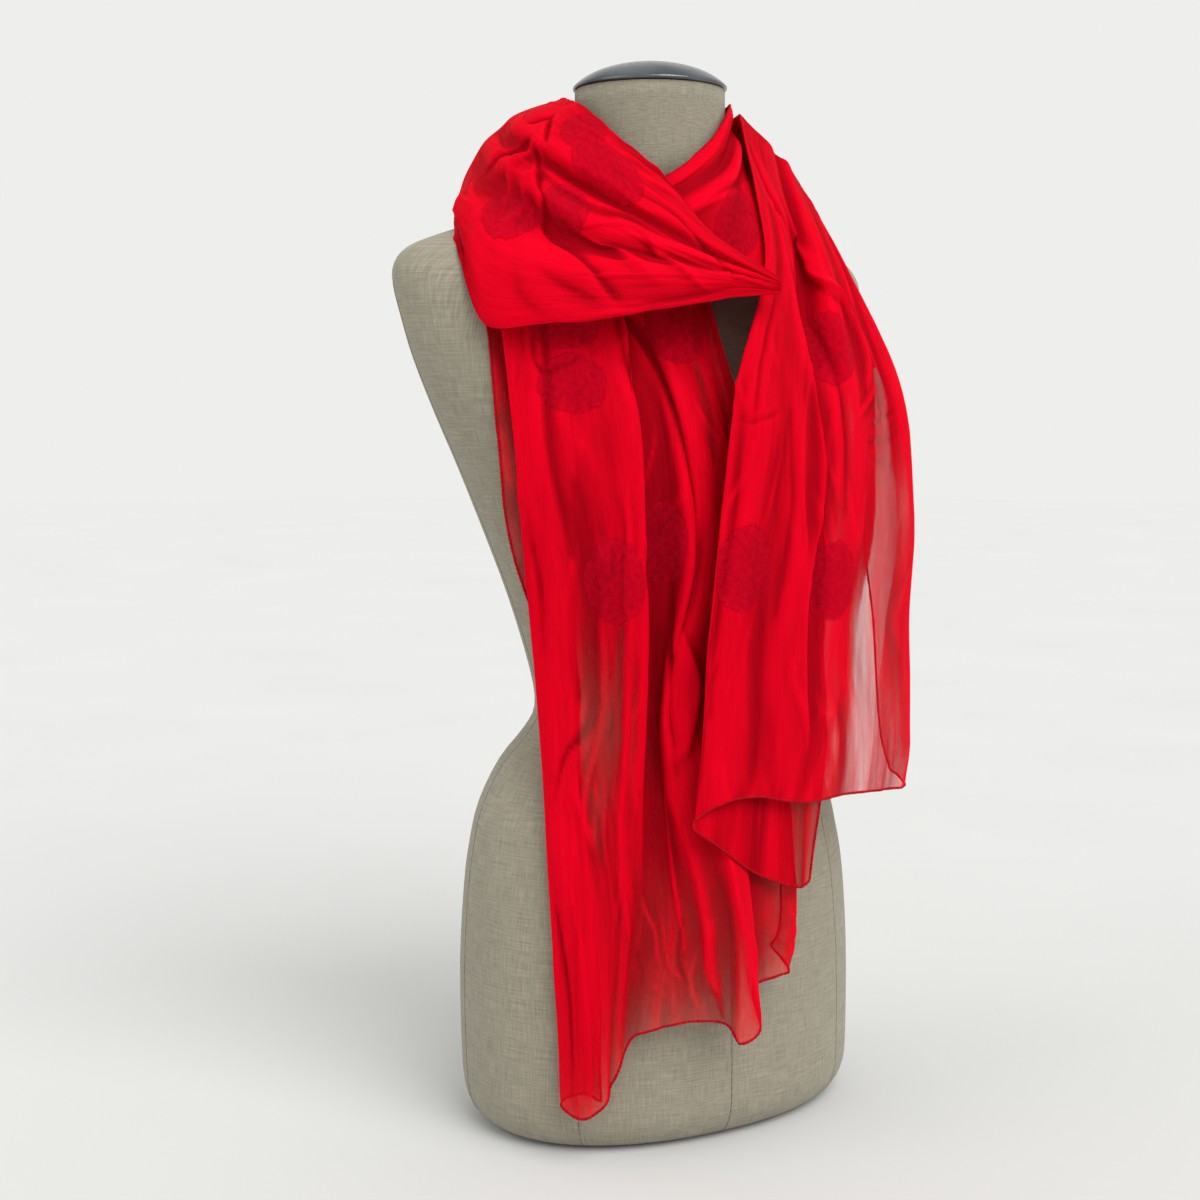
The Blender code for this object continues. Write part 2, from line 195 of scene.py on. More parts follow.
def linen_material():
    """Unbleached linen in plain weave: matt, greyish oat, with thick and thin yarns (slubs) both ways."""
    made, tree, output = new_material("woven_linen")
    place = add_node(tree, "ShaderNodeUVMap", {"uv_map": "cloth"}, {}).outputs["UV"]
    # Yarns are about 0.7 mm apart; slubs run some 20 mm along a yarn and are drawn 1.1 mm wide to show.
    upright = add_node(tree, "ShaderNodeMapping", {}, {"Vector": place, "Scale": (950, 60, 1)})
    level = add_node(tree, "ShaderNodeMapping", {}, {"Vector": place, "Scale": (45, 900, 1)})
    warp = add_node(tree, "ShaderNodeTexNoise", {},
                    {"Vector": upright.outputs[0], "Scale": 1.0, "Detail": 3.0, "Roughness": 0.65})
    weft = add_node(tree, "ShaderNodeTexNoise", {},
                    {"Vector": level.outputs[0], "Scale": 1.0, "Detail": 3.0, "Roughness": 0.65})
    yarn = add_node(tree, "ShaderNodeMath", {"operation": 'ADD'}, {0: warp.outputs[0], 1: weft.outputs[0]})
    ramp = add_node(tree, "ShaderNodeValToRGB", {}, {0: add_node(
        tree, "ShaderNodeMapRange", {}, {0: yarn.outputs[0], 1: 0.72, 2: 1.3}).outputs[0]})
    ramp.color_ramp.elements[0].color = colour("7C7767")
    ramp.color_ramp.elements[1].color = colour("9E9786")
    ramp.color_ramp.elements.new(0.5).color = colour("8E8878")
    patches = add_node(tree, "ShaderNodeTexNoise", {}, {"Vector": place, "Scale": 9.0, "Detail": 2.0})
    toned = add_node(tree, "ShaderNodeMix", {"data_type": 'RGBA', "blend_type": 'MULTIPLY'},
                     {"Factor": 0.3, 6: ramp.outputs[0], 7: add_node(
                         tree, "ShaderNodeMapRange", {}, {0: patches.outputs[0], 3: 0.7, 4: 1.2}).outputs[0]})
    weave = [add_node(tree, "ShaderNodeTexWave", {"bands_direction": axis},
                      {"Vector": place, "Scale": 228.0, "Distortion": 0.6, "Detail": 1.0}).outputs[1]
             for axis in ('X', 'Y')]
    cross = add_node(tree, "ShaderNodeMath", {"operation": 'MULTIPLY'}, {0: weave[0], 1: weave[1]})
    height = add_node(tree, "ShaderNodeMath", {"operation": 'MULTIPLY_ADD'},
                      {0: cross.outputs[0], 1: 0.5, 2: yarn.outputs[0]})
    relief = add_node(tree, "ShaderNodeBump", {},
                      {"Strength": 0.5, "Distance": 0.0006, "Height": height.outputs[0]})
    shader = add_node(tree, "ShaderNodeBsdfPrincipled", {},
                      {"Base Color": toned.outputs[2], "Roughness": 0.92, "Specular IOR Level": 0.2,
                       "Sheen Weight": 0.12, "Sheen Roughness": 0.5, "Normal": relief.outputs[0]})
    tree.links.new(shader.outputs[0], output.inputs[0])
    return made


linen = linen_material()
add_form(linen)

# ---------------------------------------------------------------- panel seams of the body
# Lapped seams where the linen panels meet: a turned edge stitched flat, a fine raised
# line down each side, down the front and over each hip.

seam_linen, seam_tree, seam_output = new_material("stitched_linen_seam")
# A doubled linen edge of the same yarn, painted darker than the body's linen as shade along the seam line, and
# darker still in bands at the stitches every 3 mm.
seam_place = add_node(seam_tree, "ShaderNodeTexCoord", {}, {}).outputs["Object"]
seam_wave = add_node(seam_tree, "ShaderNodeTexWave", {"bands_direction": 'Z'},
                     {"Vector": seam_place, "Scale": 53.0, "Distortion": 1.0})
seam_ramp = add_node(seam_tree, "ShaderNodeValToRGB", {}, {0: seam_wave.outputs[1]})
seam_ramp.color_ramp.elements[0].color = colour("544E44")
seam_ramp.color_ramp.elements[1].color = colour("756E60")
seam_shader = add_node(seam_tree, "ShaderNodeBsdfPrincipled", {},
                       {"Base Color": seam_ramp.outputs[0], "Roughness": 0.95, "Specular IOR Level": 0.15})
seam_tree.links.new(seam_shader.outputs[0], seam_output.inputs[0])


def add_seam(name, degrees, low, high):
    """A crowned strip up the form's skin between two heights."""
    rows = [row for row in fine_rows if low <= row[0] <= high]
    shape = bmesh.new()
    bmesh.ops.create_grid(shape, x_segments=4, y_segments=len(rows) - 1, size=1)
    for v in shape.verts:
        row = rows[round((v.co.y + 1) / 2 * (len(rows) - 1))]
        reach = math.hypot(row[1], row[2])
        turn = math.radians(degrees) + v.co.x * SEAM_HALF_WIDTH / reach
        lift = SEAM_RISE * (1 - abs(v.co.x)) + (-0.6 if abs(v.co.x) > 0.9 else 0)
        v.co = on_form(row, turn, lift)
    bmesh.ops.recalc_face_normals(shape, faces=shape.faces)
    return finish_piece(shape, name, seam_linen)


for mark, degrees in (("right", SIDE_SEAM), ("left", 180 - SIDE_SEAM)):
    add_seam("side_seam_" + mark, degrees, 0, 640)
for mark, degrees in (("right", PRINCESS_SEAM), ("left", 180 - PRINCESS_SEAM)):
    add_seam("hip_seam_" + mark, degrees, 0, 315)
add_seam("front_seam", FRONT_SEAM, 0, 700)
add_seam("back_seam", -FRONT_SEAM, 0, 783)

# ---------------------------------------------------------------- neck cap
# A pressed steel cap pushed over the top of the neck: a low dome with a thin
# plain edge, polished and darkened, with fine scuffs from handling.

CAP_RADIUS = 58.5
CAP_RISE = 21.0
CAP_RIM = 2.6             # height of the plain edge under the dome
CAP_SLOPE = math.radians(66)
CAP_BASE = 783.3
CAP_Y = 10.0
CAP_TURNS = 128
CAP_STEPS = 18            # steps down the dome's profile

cap_metal, cap_tree, cap_output = new_material("blackened_polished_steel")
# Steel with a dark gun-metal finish: a clear but soft reflection, fine scuffs all over.
cap_place = add_node(cap_tree, "ShaderNodeTexCoord", {}, {}).outputs["Object"]
# Scuffs are 1 to 3 mm long.
cap_scuffs = add_node(cap_tree, "ShaderNodeTexNoise", {},
                      {"Vector": cap_place, "Scale": 420.0, "Detail": 4.0})
cap_clouds = add_node(cap_tree, "ShaderNodeTexNoise", {}, {"Vector": cap_place, "Scale": 32.0, "Detail": 3.0})
cap_ramp = add_node(cap_tree, "ShaderNodeValToRGB", {}, {0: cap_clouds.outputs[0]})
cap_ramp.color_ramp.elements[0].position = 0.3
cap_ramp.color_ramp.elements[0].color = colour("4C4F54")
cap_ramp.color_ramp.elements[1].position = 0.75
cap_ramp.color_ramp.elements[1].color = colour("72767B")
cap_dull = add_node(cap_tree, "ShaderNodeMapRange", {},
                    {0: cap_scuffs.outputs[0], 1: 0.35, 2: 0.75, 3: 0.16, 4: 0.34})
cap_relief = add_node(cap_tree, "ShaderNodeBump", {},
                      {"Strength": 0.12, "Distance": 0.0003, "Height": cap_scuffs.outputs[0]})
cap_shader = add_node(cap_tree, "ShaderNodeBsdfPrincipled", {},
                      {"Base Color": cap_ramp.outputs[0], "Metallic": 1.0, "Roughness": cap_dull.outputs[0],
                       "Normal": cap_relief.outputs[0]})
cap_tree.links.new(cap_shader.outputs[0], cap_output.inputs[0])

cap_profile = [(0.0, CAP_RISE)]
for step in range(1, CAP_STEPS + 1):
    slope = CAP_SLOPE * step / CAP_STEPS
    fall = (1 - math.cos(slope)) / (1 - math.cos(CAP_SLOPE))
    out = CAP_RADIUS * math.sin(slope) / math.sin(CAP_SLOPE)
    cap_profile.append((out, CAP_RISE - (CAP_RISE - CAP_RIM) * fall))
cap_profile += [(CAP_RADIUS + 0.1, CAP_RIM - 0.6), (CAP_RADIUS - 0.1, 0.9), (CAP_RADIUS - 0.8, 0.3),
                (CAP_RADIUS - 2.0, 0.0), (0.0, 0.0)]
cap_shape = bmesh.new()
cap_verts = [cap_shape.verts.new((r * MM, CAP_Y * MM, (CAP_BASE + z) * MM)) for r, z in cap_profile]
for a, b in zip(cap_verts, cap_verts[1:]):
    cap_shape.edges.new((a, b))
bmesh.ops.spin(cap_shape, geom=cap_shape.verts[:] + cap_shape.edges[:], cent=(0, CAP_Y * MM, 0),
               axis=(0, 0, 1), dvec=(0, 0, 0), angle=2 * math.pi, steps=CAP_TURNS,
               use_merge=True, use_duplicate=False)
bmesh.ops.remove_doubles(cap_shape, verts=cap_shape.verts, dist=0.00001)
bmesh.ops.recalc_face_normals(cap_shape, faces=cap_shape.faces)
cap = finish_piece(cap_shape, "steel_cap", cap_metal)
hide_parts("neck_cap")

# ---------------------------------------------------------------- cloth of the scarf
# Silk chiffon, a sheer crinkled plain weave of hard-twisted yarn, dyed scarlet. One length,
# laid on the neck, crossed and pulled through, so it is made here in the stretches that show.

DRAPE_TURN = math.radians(30)   # the drape's own axes, turned from the form's
NECK_X = -5
NECK_Y = 9
CLOTH = 0.35                    # thickness of the crinkled cloth
FORM_GAP = 1.0                  # least space between the cloth's middle and the linen
CREASE_FADE = 2.6               # a crease has faded out at this many times its reach
PIN_FADE = 22                   # length over which a pinned end gives way to loose cloth
ONE_PLY_GAPS = 0.64             # share of the light that passes between one ply's yarns


def form_point(x, y, z):
    """A point of the drape's axes, in millimetres, as a point of the form's, in metres."""
    c = math.cos(DRAPE_TURN)
    s = math.sin(DRAPE_TURN)
    return Vector((c * x + s * y, -s * x + c * y, z)) * MM


def neck_point(angle, radius, z):
    """A point round the neck axis: angle in degrees from the chest."""
    turn = math.radians(angle)
    return form_point(NECK_X + radius * math.sin(turn), NECK_Y - radius * math.cos(turn), z)


def level_sections(folds, levels, shoulder):
    """Sections of a hanging tail: one on the shoulder if it has one, one a level, one at the hem."""
    sections = []
    start = 1
    if shoulder:
        sections.append([form_point(*fold[1:4]) for fold in folds])
        start = 4
    for k, z in enumerate(levels):
        column = start + 2 * k
        sections.append([form_point(fold[column], fold[column + 1], z) for fold in folds])
    sections.append([form_point(*fold[-3:]) for fold in folds])
    return sections


def ring_sections(folds, angles):
    """Sections of a stretch that goes round the neck, one for each angle."""
    return [[neck_point(angle, fold[1 + 2 * k], fold[2 + 2 * k]) for fold in folds]
            for k, angle in enumerate(angles)]


def sheet_grid(sections, across, along):
    """Grid of points through the sections: grid[row along][column across]."""
    ribs = [spline(section, across) for section in sections]
    strands = [spline([rib[i] for rib in ribs], along) for i in range(across + 1)]
    return [[strand[j] for strand in strands] for j in range(along + 1)]


def runs(points):
    """Distance along a line of points, in millimetres, at each of them."""
    out = [0.0]
    for a, b in zip(points, points[1:]):
        out.append(out[-1] + (b - a).length / MM)
    return out


def grid_normal(grid, j, i):
    """Unit normal of the grid at row j and column i."""
    rows = len(grid) - 1
    columns = len(grid[0]) - 1
    along = grid[min(j + 1, rows)][i] - grid[max(j - 1, 0)][i]
    across = grid[j][min(i + 1, columns)] - grid[j][max(i - 1, 0)]
    return along.cross(across).normalized()


def keep_off_form(point, gap):
    """The point, moved out if it would lie in the linen body."""
    z = point.z / MM
    if z < fine_rows[0][0] or z > fine_rows[-1][0]:
        return point
    k = next(k for k, row in enumerate(fine_rows) if row[0] >= z)
    high = fine_rows[k]
    low = fine_rows[max(k - 1, 0)]
    t = (z - low[0]) / (high[0] - low[0]) if high[0] > low[0] else 0
    _, half_width, front, back, middle, power = [a + (b - a) * t for a, b in zip(low, high)]
    x = point.x / MM
    y = point.y / MM - middle
    depth = front if y < 0 else back
    inside = (abs(x) / (half_width + gap)) ** power + (abs(y) / (depth + gap)) ** power
    if inside >= 1 or inside < 0.2:
        return point
    grow = inside ** (-1 / power)
    return Vector((x * grow, middle + y * grow, z)) * MM


def smooth_step(x):
    """0 below 0, 1 above 1, and a soft rise between."""
    x = min(max(x, 0.0), 1.0)
    return x * x * (3 - 2 * x)


def from_table(rows, j, i):
    """A value between the entries of a table, at a place given as fractions of its rows and columns."""
    y = j * (len(rows) - 1)
    x = i * (len(rows[0]) - 1)
    r = min(int(y), len(rows) - 2)
    c = min(int(x), len(rows[0]) - 2)
    v = smooth_step(y - r)
    u = smooth_step((x - c - 0.35) / 0.3)
    top = rows[r][c] * (1 - u) + rows[r][c + 1] * u
    low = rows[r + 1][c] * (1 - u) + rows[r + 1][c + 1] * u
    return top * (1 - v) + low * v


def flat_line(points):
    """A line on the flat cloth: smooth pieces, each with its start, direction, length and run so far."""
    smooth = spline([Vector((*point, 0)) for point in points], 4 * (len(points) - 1))
    pieces = []
    run = 0.0
    for a, b in zip(smooth, smooth[1:]):
        long = max((b - a).length, 1e-6)
        pieces.append((a.x, a.y, (b.x - a.x) / long, (b.y - a.y) / long, long, run))
        run += long
    across = [q.x for q in smooth]
    along = [q.y for q in smooth]
    reach = [min(across), max(across), min(along), max(along)]
    return pieces, run, reach


def near_line(line, s, t, margin):
    """Distance from a line, positive on its right, and how far along it, or nothing if past the margin."""
    pieces, run, reach = line
    if not (reach[0] - margin < s < reach[1] + margin and reach[2] - margin < t < reach[3] + margin):
        return None
    best = margin * margin
    found = None
    for s0, t0, us, ut, long, start in pieces:
        along = min(max((s - s0) * us + (t - t0) * ut, 0.0), long)
        ds = s - s0 - us * along
        dt = t - t0 - ut * along
        away = ds * ds + dt * dt
        if away < best:
            best = away
            side = 1 if (s - s0) * ut - (t - t0) * us > 0 else -1
            found = (side, (start + along) / run)
    return None if found is None else (found[0] * math.sqrt(best), found[1])


def crease_lift(creases, s, t):
    """Sum of the creases at a place: each a soft ridge, or a trough where its height is negative."""
    lift = 0.0
    for line, left, right, height in creases:
        near = near_line(line, s, t, CREASE_FADE * max(left, right))
        if near:
            away, along = near
            width = right if away > 0 else left
            taper = max(math.sin(math.pi * (0.04 + 0.92 * along)), 0.0) ** 0.6
            lift += height * taper * math.exp(-(abs(away) / width) ** 1.5)
    return lift


def cloth_lift(settings, s, t, width, length):
    """How far the crumple of the cloth moves a place off its smooth form, in millimetres."""
    folds, ripple, scallop, seed = settings
    # Folds run down the cloth: short across it, long along it, and never quite straight.
    drift = 22 * noise.noise(Vector((s / 80, t / 110, seed)))
    broad = noise.noise(Vector(((s + drift) / 27, t / 160, seed + 3.1)))
    sharp = max(1 - abs(noise.noise(Vector(((s + drift) / 19, t / 100, seed + 7.7)))) * 5, 0)
    sharp *= smooth_step(2 * noise.noise(Vector((s / 45, t / 70, seed + 23.0))) + 0.3)
    small = noise.noise(Vector(((s + drift) / 6, t / 45, seed + 11.3)))
    small *= smooth_step(2 * noise.noise(Vector((s / 35, t / 60, seed + 31.0))) + 0.5)
    edge = min(s, width - s)
    flutter = noise.noise(Vector((0.3 * edge / 20, t / 16, seed + 17.9))) * math.exp(-edge / 9)
    hem = math.exp(-max(length - t, 0) / 12) * noise.noise(Vector((s / 15, seed, 2.2)))
    return folds * (broad + 0.7 * sharp) + ripple * small + scallop * (flutter + hem)


def build_grid(sections, across, along, side, settings, creases, pinned=(0, 0)):
    """The fine grid of a stretch, with its creases and crumple. side is 1 where the grid's normal shows."""
    smooth = sheet_grid(sections, across, along)
    wide = runs(smooth[along // 2])
    far = runs([row[across // 2] for row in smooth])
    folds = len(sections[0]) - 1
    stations = len(sections) - 1

    def flat(fold, station):
        return wide[round(fold / folds * across)], far[round(station / stations * along)]

    lines = [(flat_line([flat(*place) for place in line]), left, right, height)
             for line, left, right, height in creases]
    grid = []
    for j, row in enumerate(smooth):
        ends = 1.0
        if pinned[0]:
            ends *= smooth_step(far[j] / PIN_FADE)
        if pinned[1]:
            ends *= smooth_step((far[-1] - far[j]) / PIN_FADE)
        line = []
        for i, point in enumerate(row):
            lift = cloth_lift(settings, wide[i], far[j], wide[-1], far[-1])
            lift = (lift + crease_lift(lines, wide[i], far[j])) * ends * side * MM
            line.append(keep_off_form(point + grid_normal(smooth, j, i) * lift, FORM_GAP))
        grid.append(line)
    return grid, wide, far, hollow_table(grid, wide, far, side), flat


def hollow_table(grid, wide, far, side):
    """How far each place lies in a hollow, from -1 on a crest to 1 in a trough, over a fold's breadth: the
    materials paint shade in troughs and light on crests by it.
    """
    columns = len(grid[0]) - 1
    rows = len(grid) - 1
    pace = wide[-1] / columns
    table = []
    for j in range(rows + 1):
        line = []
        for i in range(columns + 1):
            normal = grid_normal(grid, j, i) * side
            total = 0.0
            for reach, weight in ((4, 0.4), (9, 0.3), (18, 0.16)):
                k = max(round(reach / pace), 1)
                left = grid[j][max(i - k, 0)]
                right = grid[j][min(i + k, columns)]
                total += ((left + right) / 2 - grid[j][i]).dot(normal) / MM * weight
            k = max(round(7 / (far[-1] / rows)), 1)
            above = grid[max(j - k, 0)][i]
            below = grid[min(j + k, rows)][i]
            total += ((above + below) / 2 - grid[j][i]).dot(normal) / MM * 0.4
            line.append(math.tanh(total * 1.1))
        table.append(line)
    return table


def chiffon_material():
    """Crinkled silk chiffon: sheer, with scarlet yarns that glow where light comes through them."""
    made, tree, output = new_material("crinkled_silk_chiffon")
    place = add_node(tree, "ShaderNodeUVMap", {"uv_map": "cloth"}, {}).outputs["UV"]
    # The crinkle runs along the cloth: puckers about 1.6 mm across and 20 mm long, in bands of 8 mm.
    fine = add_node(tree, "ShaderNodeMapping", {}, {"Vector": place, "Scale": (620, 48, 1)})
    bands = add_node(tree, "ShaderNodeMapping", {}, {"Vector": place, "Scale": (125, 11, 1)})
    puckers = add_node(tree, "ShaderNodeTexNoise", {},
                       {"Vector": fine.outputs[0], "Scale": 1.0, "Detail": 4.0, "Roughness": 0.6,
                        "Distortion": 0.4})
    streaks = add_node(tree, "ShaderNodeTexNoise", {},
                       {"Vector": bands.outputs[0], "Scale": 1.0, "Detail": 3.0, "Roughness": 0.55})
    crinkle = add_node(tree, "ShaderNodeMath", {"operation": 'MULTIPLY_ADD'},
                       {0: streaks.outputs[0], 1: 1.6, 2: puckers.outputs[0]})
    relief = add_node(tree, "ShaderNodeBump", {},
                      {"Strength": 0.55, "Distance": 0.0012, "Height": crinkle.outputs[0]})
    # Yarn cover: one layer lets about two thirds of the light by; slanted or folded cloth lets by less.
    layers = add_node(tree, "ShaderNodeAttribute", {"attribute_name": "layers"}, {}).outputs["Fac"]
    slant = add_node(tree, "ShaderNodeLayerWeight", {}, {"Blend": 0.5})
    facing = add_node(tree, "ShaderNodeMath", {"operation": 'SUBTRACT'}, {0: 1.0, 1: slant.outputs["Facing"]})
    facing = add_node(tree, "ShaderNodeMath", {"operation": 'MAXIMUM'}, {0: facing.outputs[0], 1: 0.2})
    layers = add_node(tree, "ShaderNodeMath", {"operation": 'POWER'}, {0: layers, 1: 1.5}).outputs[0]
    depth = add_node(tree, "ShaderNodeMath", {"operation": 'DIVIDE'}, {0: layers, 1: facing.outputs[0]})
    uneven = add_node(tree, "ShaderNodeMapRange", {},
                      {0: crinkle.outputs[0], 1: 0.9, 2: 1.7, 3: 0.7, 4: 1.35})
    depth = add_node(tree, "ShaderNodeMath", {"operation": 'MULTIPLY'},
                     {0: depth.outputs[0], 1: uneven.outputs[0]})
    gaps = add_node(tree, "ShaderNodeMath", {"operation": 'POWER'}, {0: ONE_PLY_GAPS, 1: depth.outputs[0]})
    cover = add_node(tree, "ShaderNodeMath", {"operation": 'SUBTRACT'}, {0: 1.0, 1: gaps.outputs[0]})
    # Painted shade and painted highlight: the base colour darkens in hollows between folds and lightens on
    # crests, and the crinkle varies it.
    hollow = add_node(tree, "ShaderNodeAttribute", {"attribute_name": "hollow"}, {}).outputs["Fac"]
    tone = add_node(tree, "ShaderNodeMath", {"operation": 'MULTIPLY_ADD'}, {0: hollow, 1: -0.41, 2: 0.42})
    tone = add_node(tree, "ShaderNodeMath", {"operation": 'MULTIPLY_ADD'},
                    {0: crinkle.outputs[0], 1: 0.25, 2: tone.outputs[0]})
    ramp = add_node(tree, "ShaderNodeValToRGB", {}, {0: add_node(
        tree, "ShaderNodeMapRange", {}, {0: tone.outputs[0], 1: 0.2, 2: 1.3}).outputs[0]})
    ramp.color_ramp.elements[0].color = colour("A00014")
    ramp.color_ramp.elements[1].color = colour("F80026")
    ramp.color_ramp.elements.new(0.45).color = colour("CE001A")
    front = add_node(tree, "ShaderNodeBsdfPrincipled", {},
                     {"Base Color": ramp.outputs[0], "Roughness": 0.7, "Specular IOR Level": 0.03,
                      "Sheen Weight": 0.06, "Sheen Roughness": 0.4, "Sheen Tint": colour("F01028"),
                      "Normal": relief.outputs[0]})
    through = add_node(tree, "ShaderNodeBsdfTranslucent", {},
                       {"Color": ramp.outputs[0], "Normal": relief.outputs[0]})
    yarns = add_node(tree, "ShaderNodeMixShader", {}, {0: 0.3, 1: front.outputs[0], 2: through.outputs[0]})
    clear = add_node(tree, "ShaderNodeBsdfTransparent", {}, {})
    mixed = add_node(tree, "ShaderNodeMixShader", {},
                     {0: cover.outputs[0], 1: clear.outputs[0], 2: yarns.outputs[0]})
    tree.links.new(mixed.outputs[0], output.inputs[0])
    return made


chiffon = chiffon_material()


def add_cloth(name, node, built, layers, patches=()):
    """A stretch of cloth on its grid, thickened to a thin shell. layers says how many plies lie
    together, and patches where a line's neighbourhood has another number, with a crisp edge."""
    grid, wide, far, hollows, flat = built
    lines = [(flat_line([flat(*place) for place in line]), reach, count) for line, reach, count in patches]
    rows = len(grid) - 1
    columns = len(grid[0]) - 1
    shape = bmesh.new()
    uv = shape.loops.layers.uv.new("cloth")
    plies = shape.verts.layers.float.new("layers")
    hollow = shape.verts.layers.float.new("hollow")
    bmesh.ops.create_grid(shape, x_segments=columns, y_segments=rows, size=1, calc_uvs=True)
    for face in shape.faces:
        for corner in face.loops:
            i = round((corner.vert.co.x + 1) / 2 * columns)
            j = round((corner.vert.co.y + 1) / 2 * rows)
            corner[uv].uv = (wide[i] * MM, far[j] * MM)
    for v in shape.verts:
        i = round((v.co.x + 1) / 2 * columns)
        j = round((v.co.y + 1) / 2 * rows)
        count = from_table(layers, j / rows, i / columns)
        for line, reach, patch in lines:
            near = near_line(line, wide[i], far[j], reach)
            if near:
                edge = reach * (0.45 + 0.55 * math.sin(math.pi * near[1]))
                count += (patch - count) * smooth_step((edge - abs(near[0])) / 2.5)
        v[plies] = count
        # The hollow at each place, by which the materials paint shade in troughs and light on crests.
        v[hollow] = hollows[j][i]
        v.co = grid[j][i]
    bmesh.ops.reverse_faces(shape, faces=shape.faces)
    piece = finish_piece(shape, name, chiffon)
    wall = piece.modifiers.new("cloth thickness", 'SOLIDIFY')
    wall.thickness = CLOTH * MM
    wall.offset = 0
    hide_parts(node)
    return piece


# ---------------------------------------------------------------- rolled hems
# The cut edges are rolled to a fine cord between finger and thumb and whipped down by
# hand, so the edge is a dense thin line, beaded by the stitches and never quite even.

HEM_RADIUS = 0.95
STITCH = 3.2
BEAD = 0.22                     # swell of the cord between two stitches, as a share of it
HEM_UNEVEN = 0.3                # and its slow unevenness
HEM_STEP = 1.1

rolled, rolled_tree, rolled_output = new_material("rolled_chiffon_edge")
# Three or four turns of chiffon: opaque, a deeper scarlet, with the crinkle still in it.
rolled_place = add_node(rolled_tree, "ShaderNodeTexCoord", {}, {}).outputs["Object"]
# Stitch dimples are about 3 mm apart.
rolled_noise = add_node(rolled_tree, "ShaderNodeTexNoise", {},
                        {"Vector": rolled_place, "Scale": 330.0, "Detail": 3.0})
rolled_ramp = add_node(rolled_tree, "ShaderNodeValToRGB", {}, {0: rolled_noise.outputs[0]})
rolled_ramp.color_ramp.elements[0].position = 0.35
rolled_ramp.color_ramp.elements[0].color = colour("8C0010")
rolled_ramp.color_ramp.elements[1].position = 0.7
rolled_ramp.color_ramp.elements[1].color = colour("B40016")
rolled_relief = add_node(rolled_tree, "ShaderNodeBump", {},
                         {"Strength": 0.5, "Distance": 0.0004, "Height": rolled_noise.outputs[0]})
rolled_shader = add_node(rolled_tree, "ShaderNodeBsdfPrincipled", {},
                         {"Base Color": rolled_ramp.outputs[0], "Roughness": 0.8, "Specular IOR Level": 0.1,
                          "Normal": rolled_relief.outputs[0]})
rolled_tree.links.new(rolled_shader.outputs[0], rolled_output.inputs[0])


def add_hem(name, points, seed):
    """A beaded cord along a line of points."""
    curve = bpy.data.curves.new(name, 'CURVE')
    curve.dimensions = '3D'
    curve.bevel_depth = HEM_RADIUS * MM
    curve.bevel_resolution = 1
    curve.use_fill_caps = True
    line = curve.splines.new('POLY')
    line.points.add(len(points) - 1)
    place = 0.0
    for k, (point, target) in enumerate(zip(points, line.points)):
        if k:
            place += (point - points[k - 1]).length / MM
        target.co = (*point, 1)
        bead = BEAD * math.sin(2 * math.pi * place / STITCH)
        target.radius = 1 + bead + HEM_UNEVEN * noise.noise(Vector((place / 7, seed, 0)))
    holder = bpy.data.objects.new(name + "_curve", curve)
    bpy.context.scene.collection.objects.link(holder)
    mesh = bpy.data.meshes.new_from_object(holder.evaluated_get(bpy.context.evaluated_depsgraph_get()))
    bpy.data.objects.remove(holder, do_unlink=True)
    shape = bmesh.new()
    shape.from_mesh(mesh)
    bmesh.ops.recalc_face_normals(shape, faces=shape.faces)
    return finish_piece(shape, name, rolled)


def close_points(points, step):
    """The line of points, made again at an even step in millimetres."""
    place = runs(points)
    count = max(int(place[-1] / step), 2)
    out = []
    k = 0
    for n in range(count + 1):
        want = place[-1] * n / count
        while k < len(place) - 2 and place[k + 1] < want:
            k += 1
        t = (want - place[k]) / max(place[k + 1] - place[k], 1e-9)
        out.append(points[k].lerp(points[k + 1], min(max(t, 0), 1)))
    return out


def edge_line(grid, sides):
    """Points round the named sides of a grid, in order: left down, hem across, right up."""
    line = []
    if "left" in sides:
        line += [row[0] for row in grid]
    if "hem" in sides:
        line += grid[-1][1:] if line else grid[-1]
    if "right" in sides:
        right = [row[-1] for row in reversed(grid)]
        line += right[1:] if line else right
    return close_points(line, HEM_STEP)


# ---------------------------------------------------------------- long tail
# The end that was pulled through: it falls from under the cowl to the hips, rolled into
# a tube at its left side, with deep upright folds, and one ply thick near its hem.

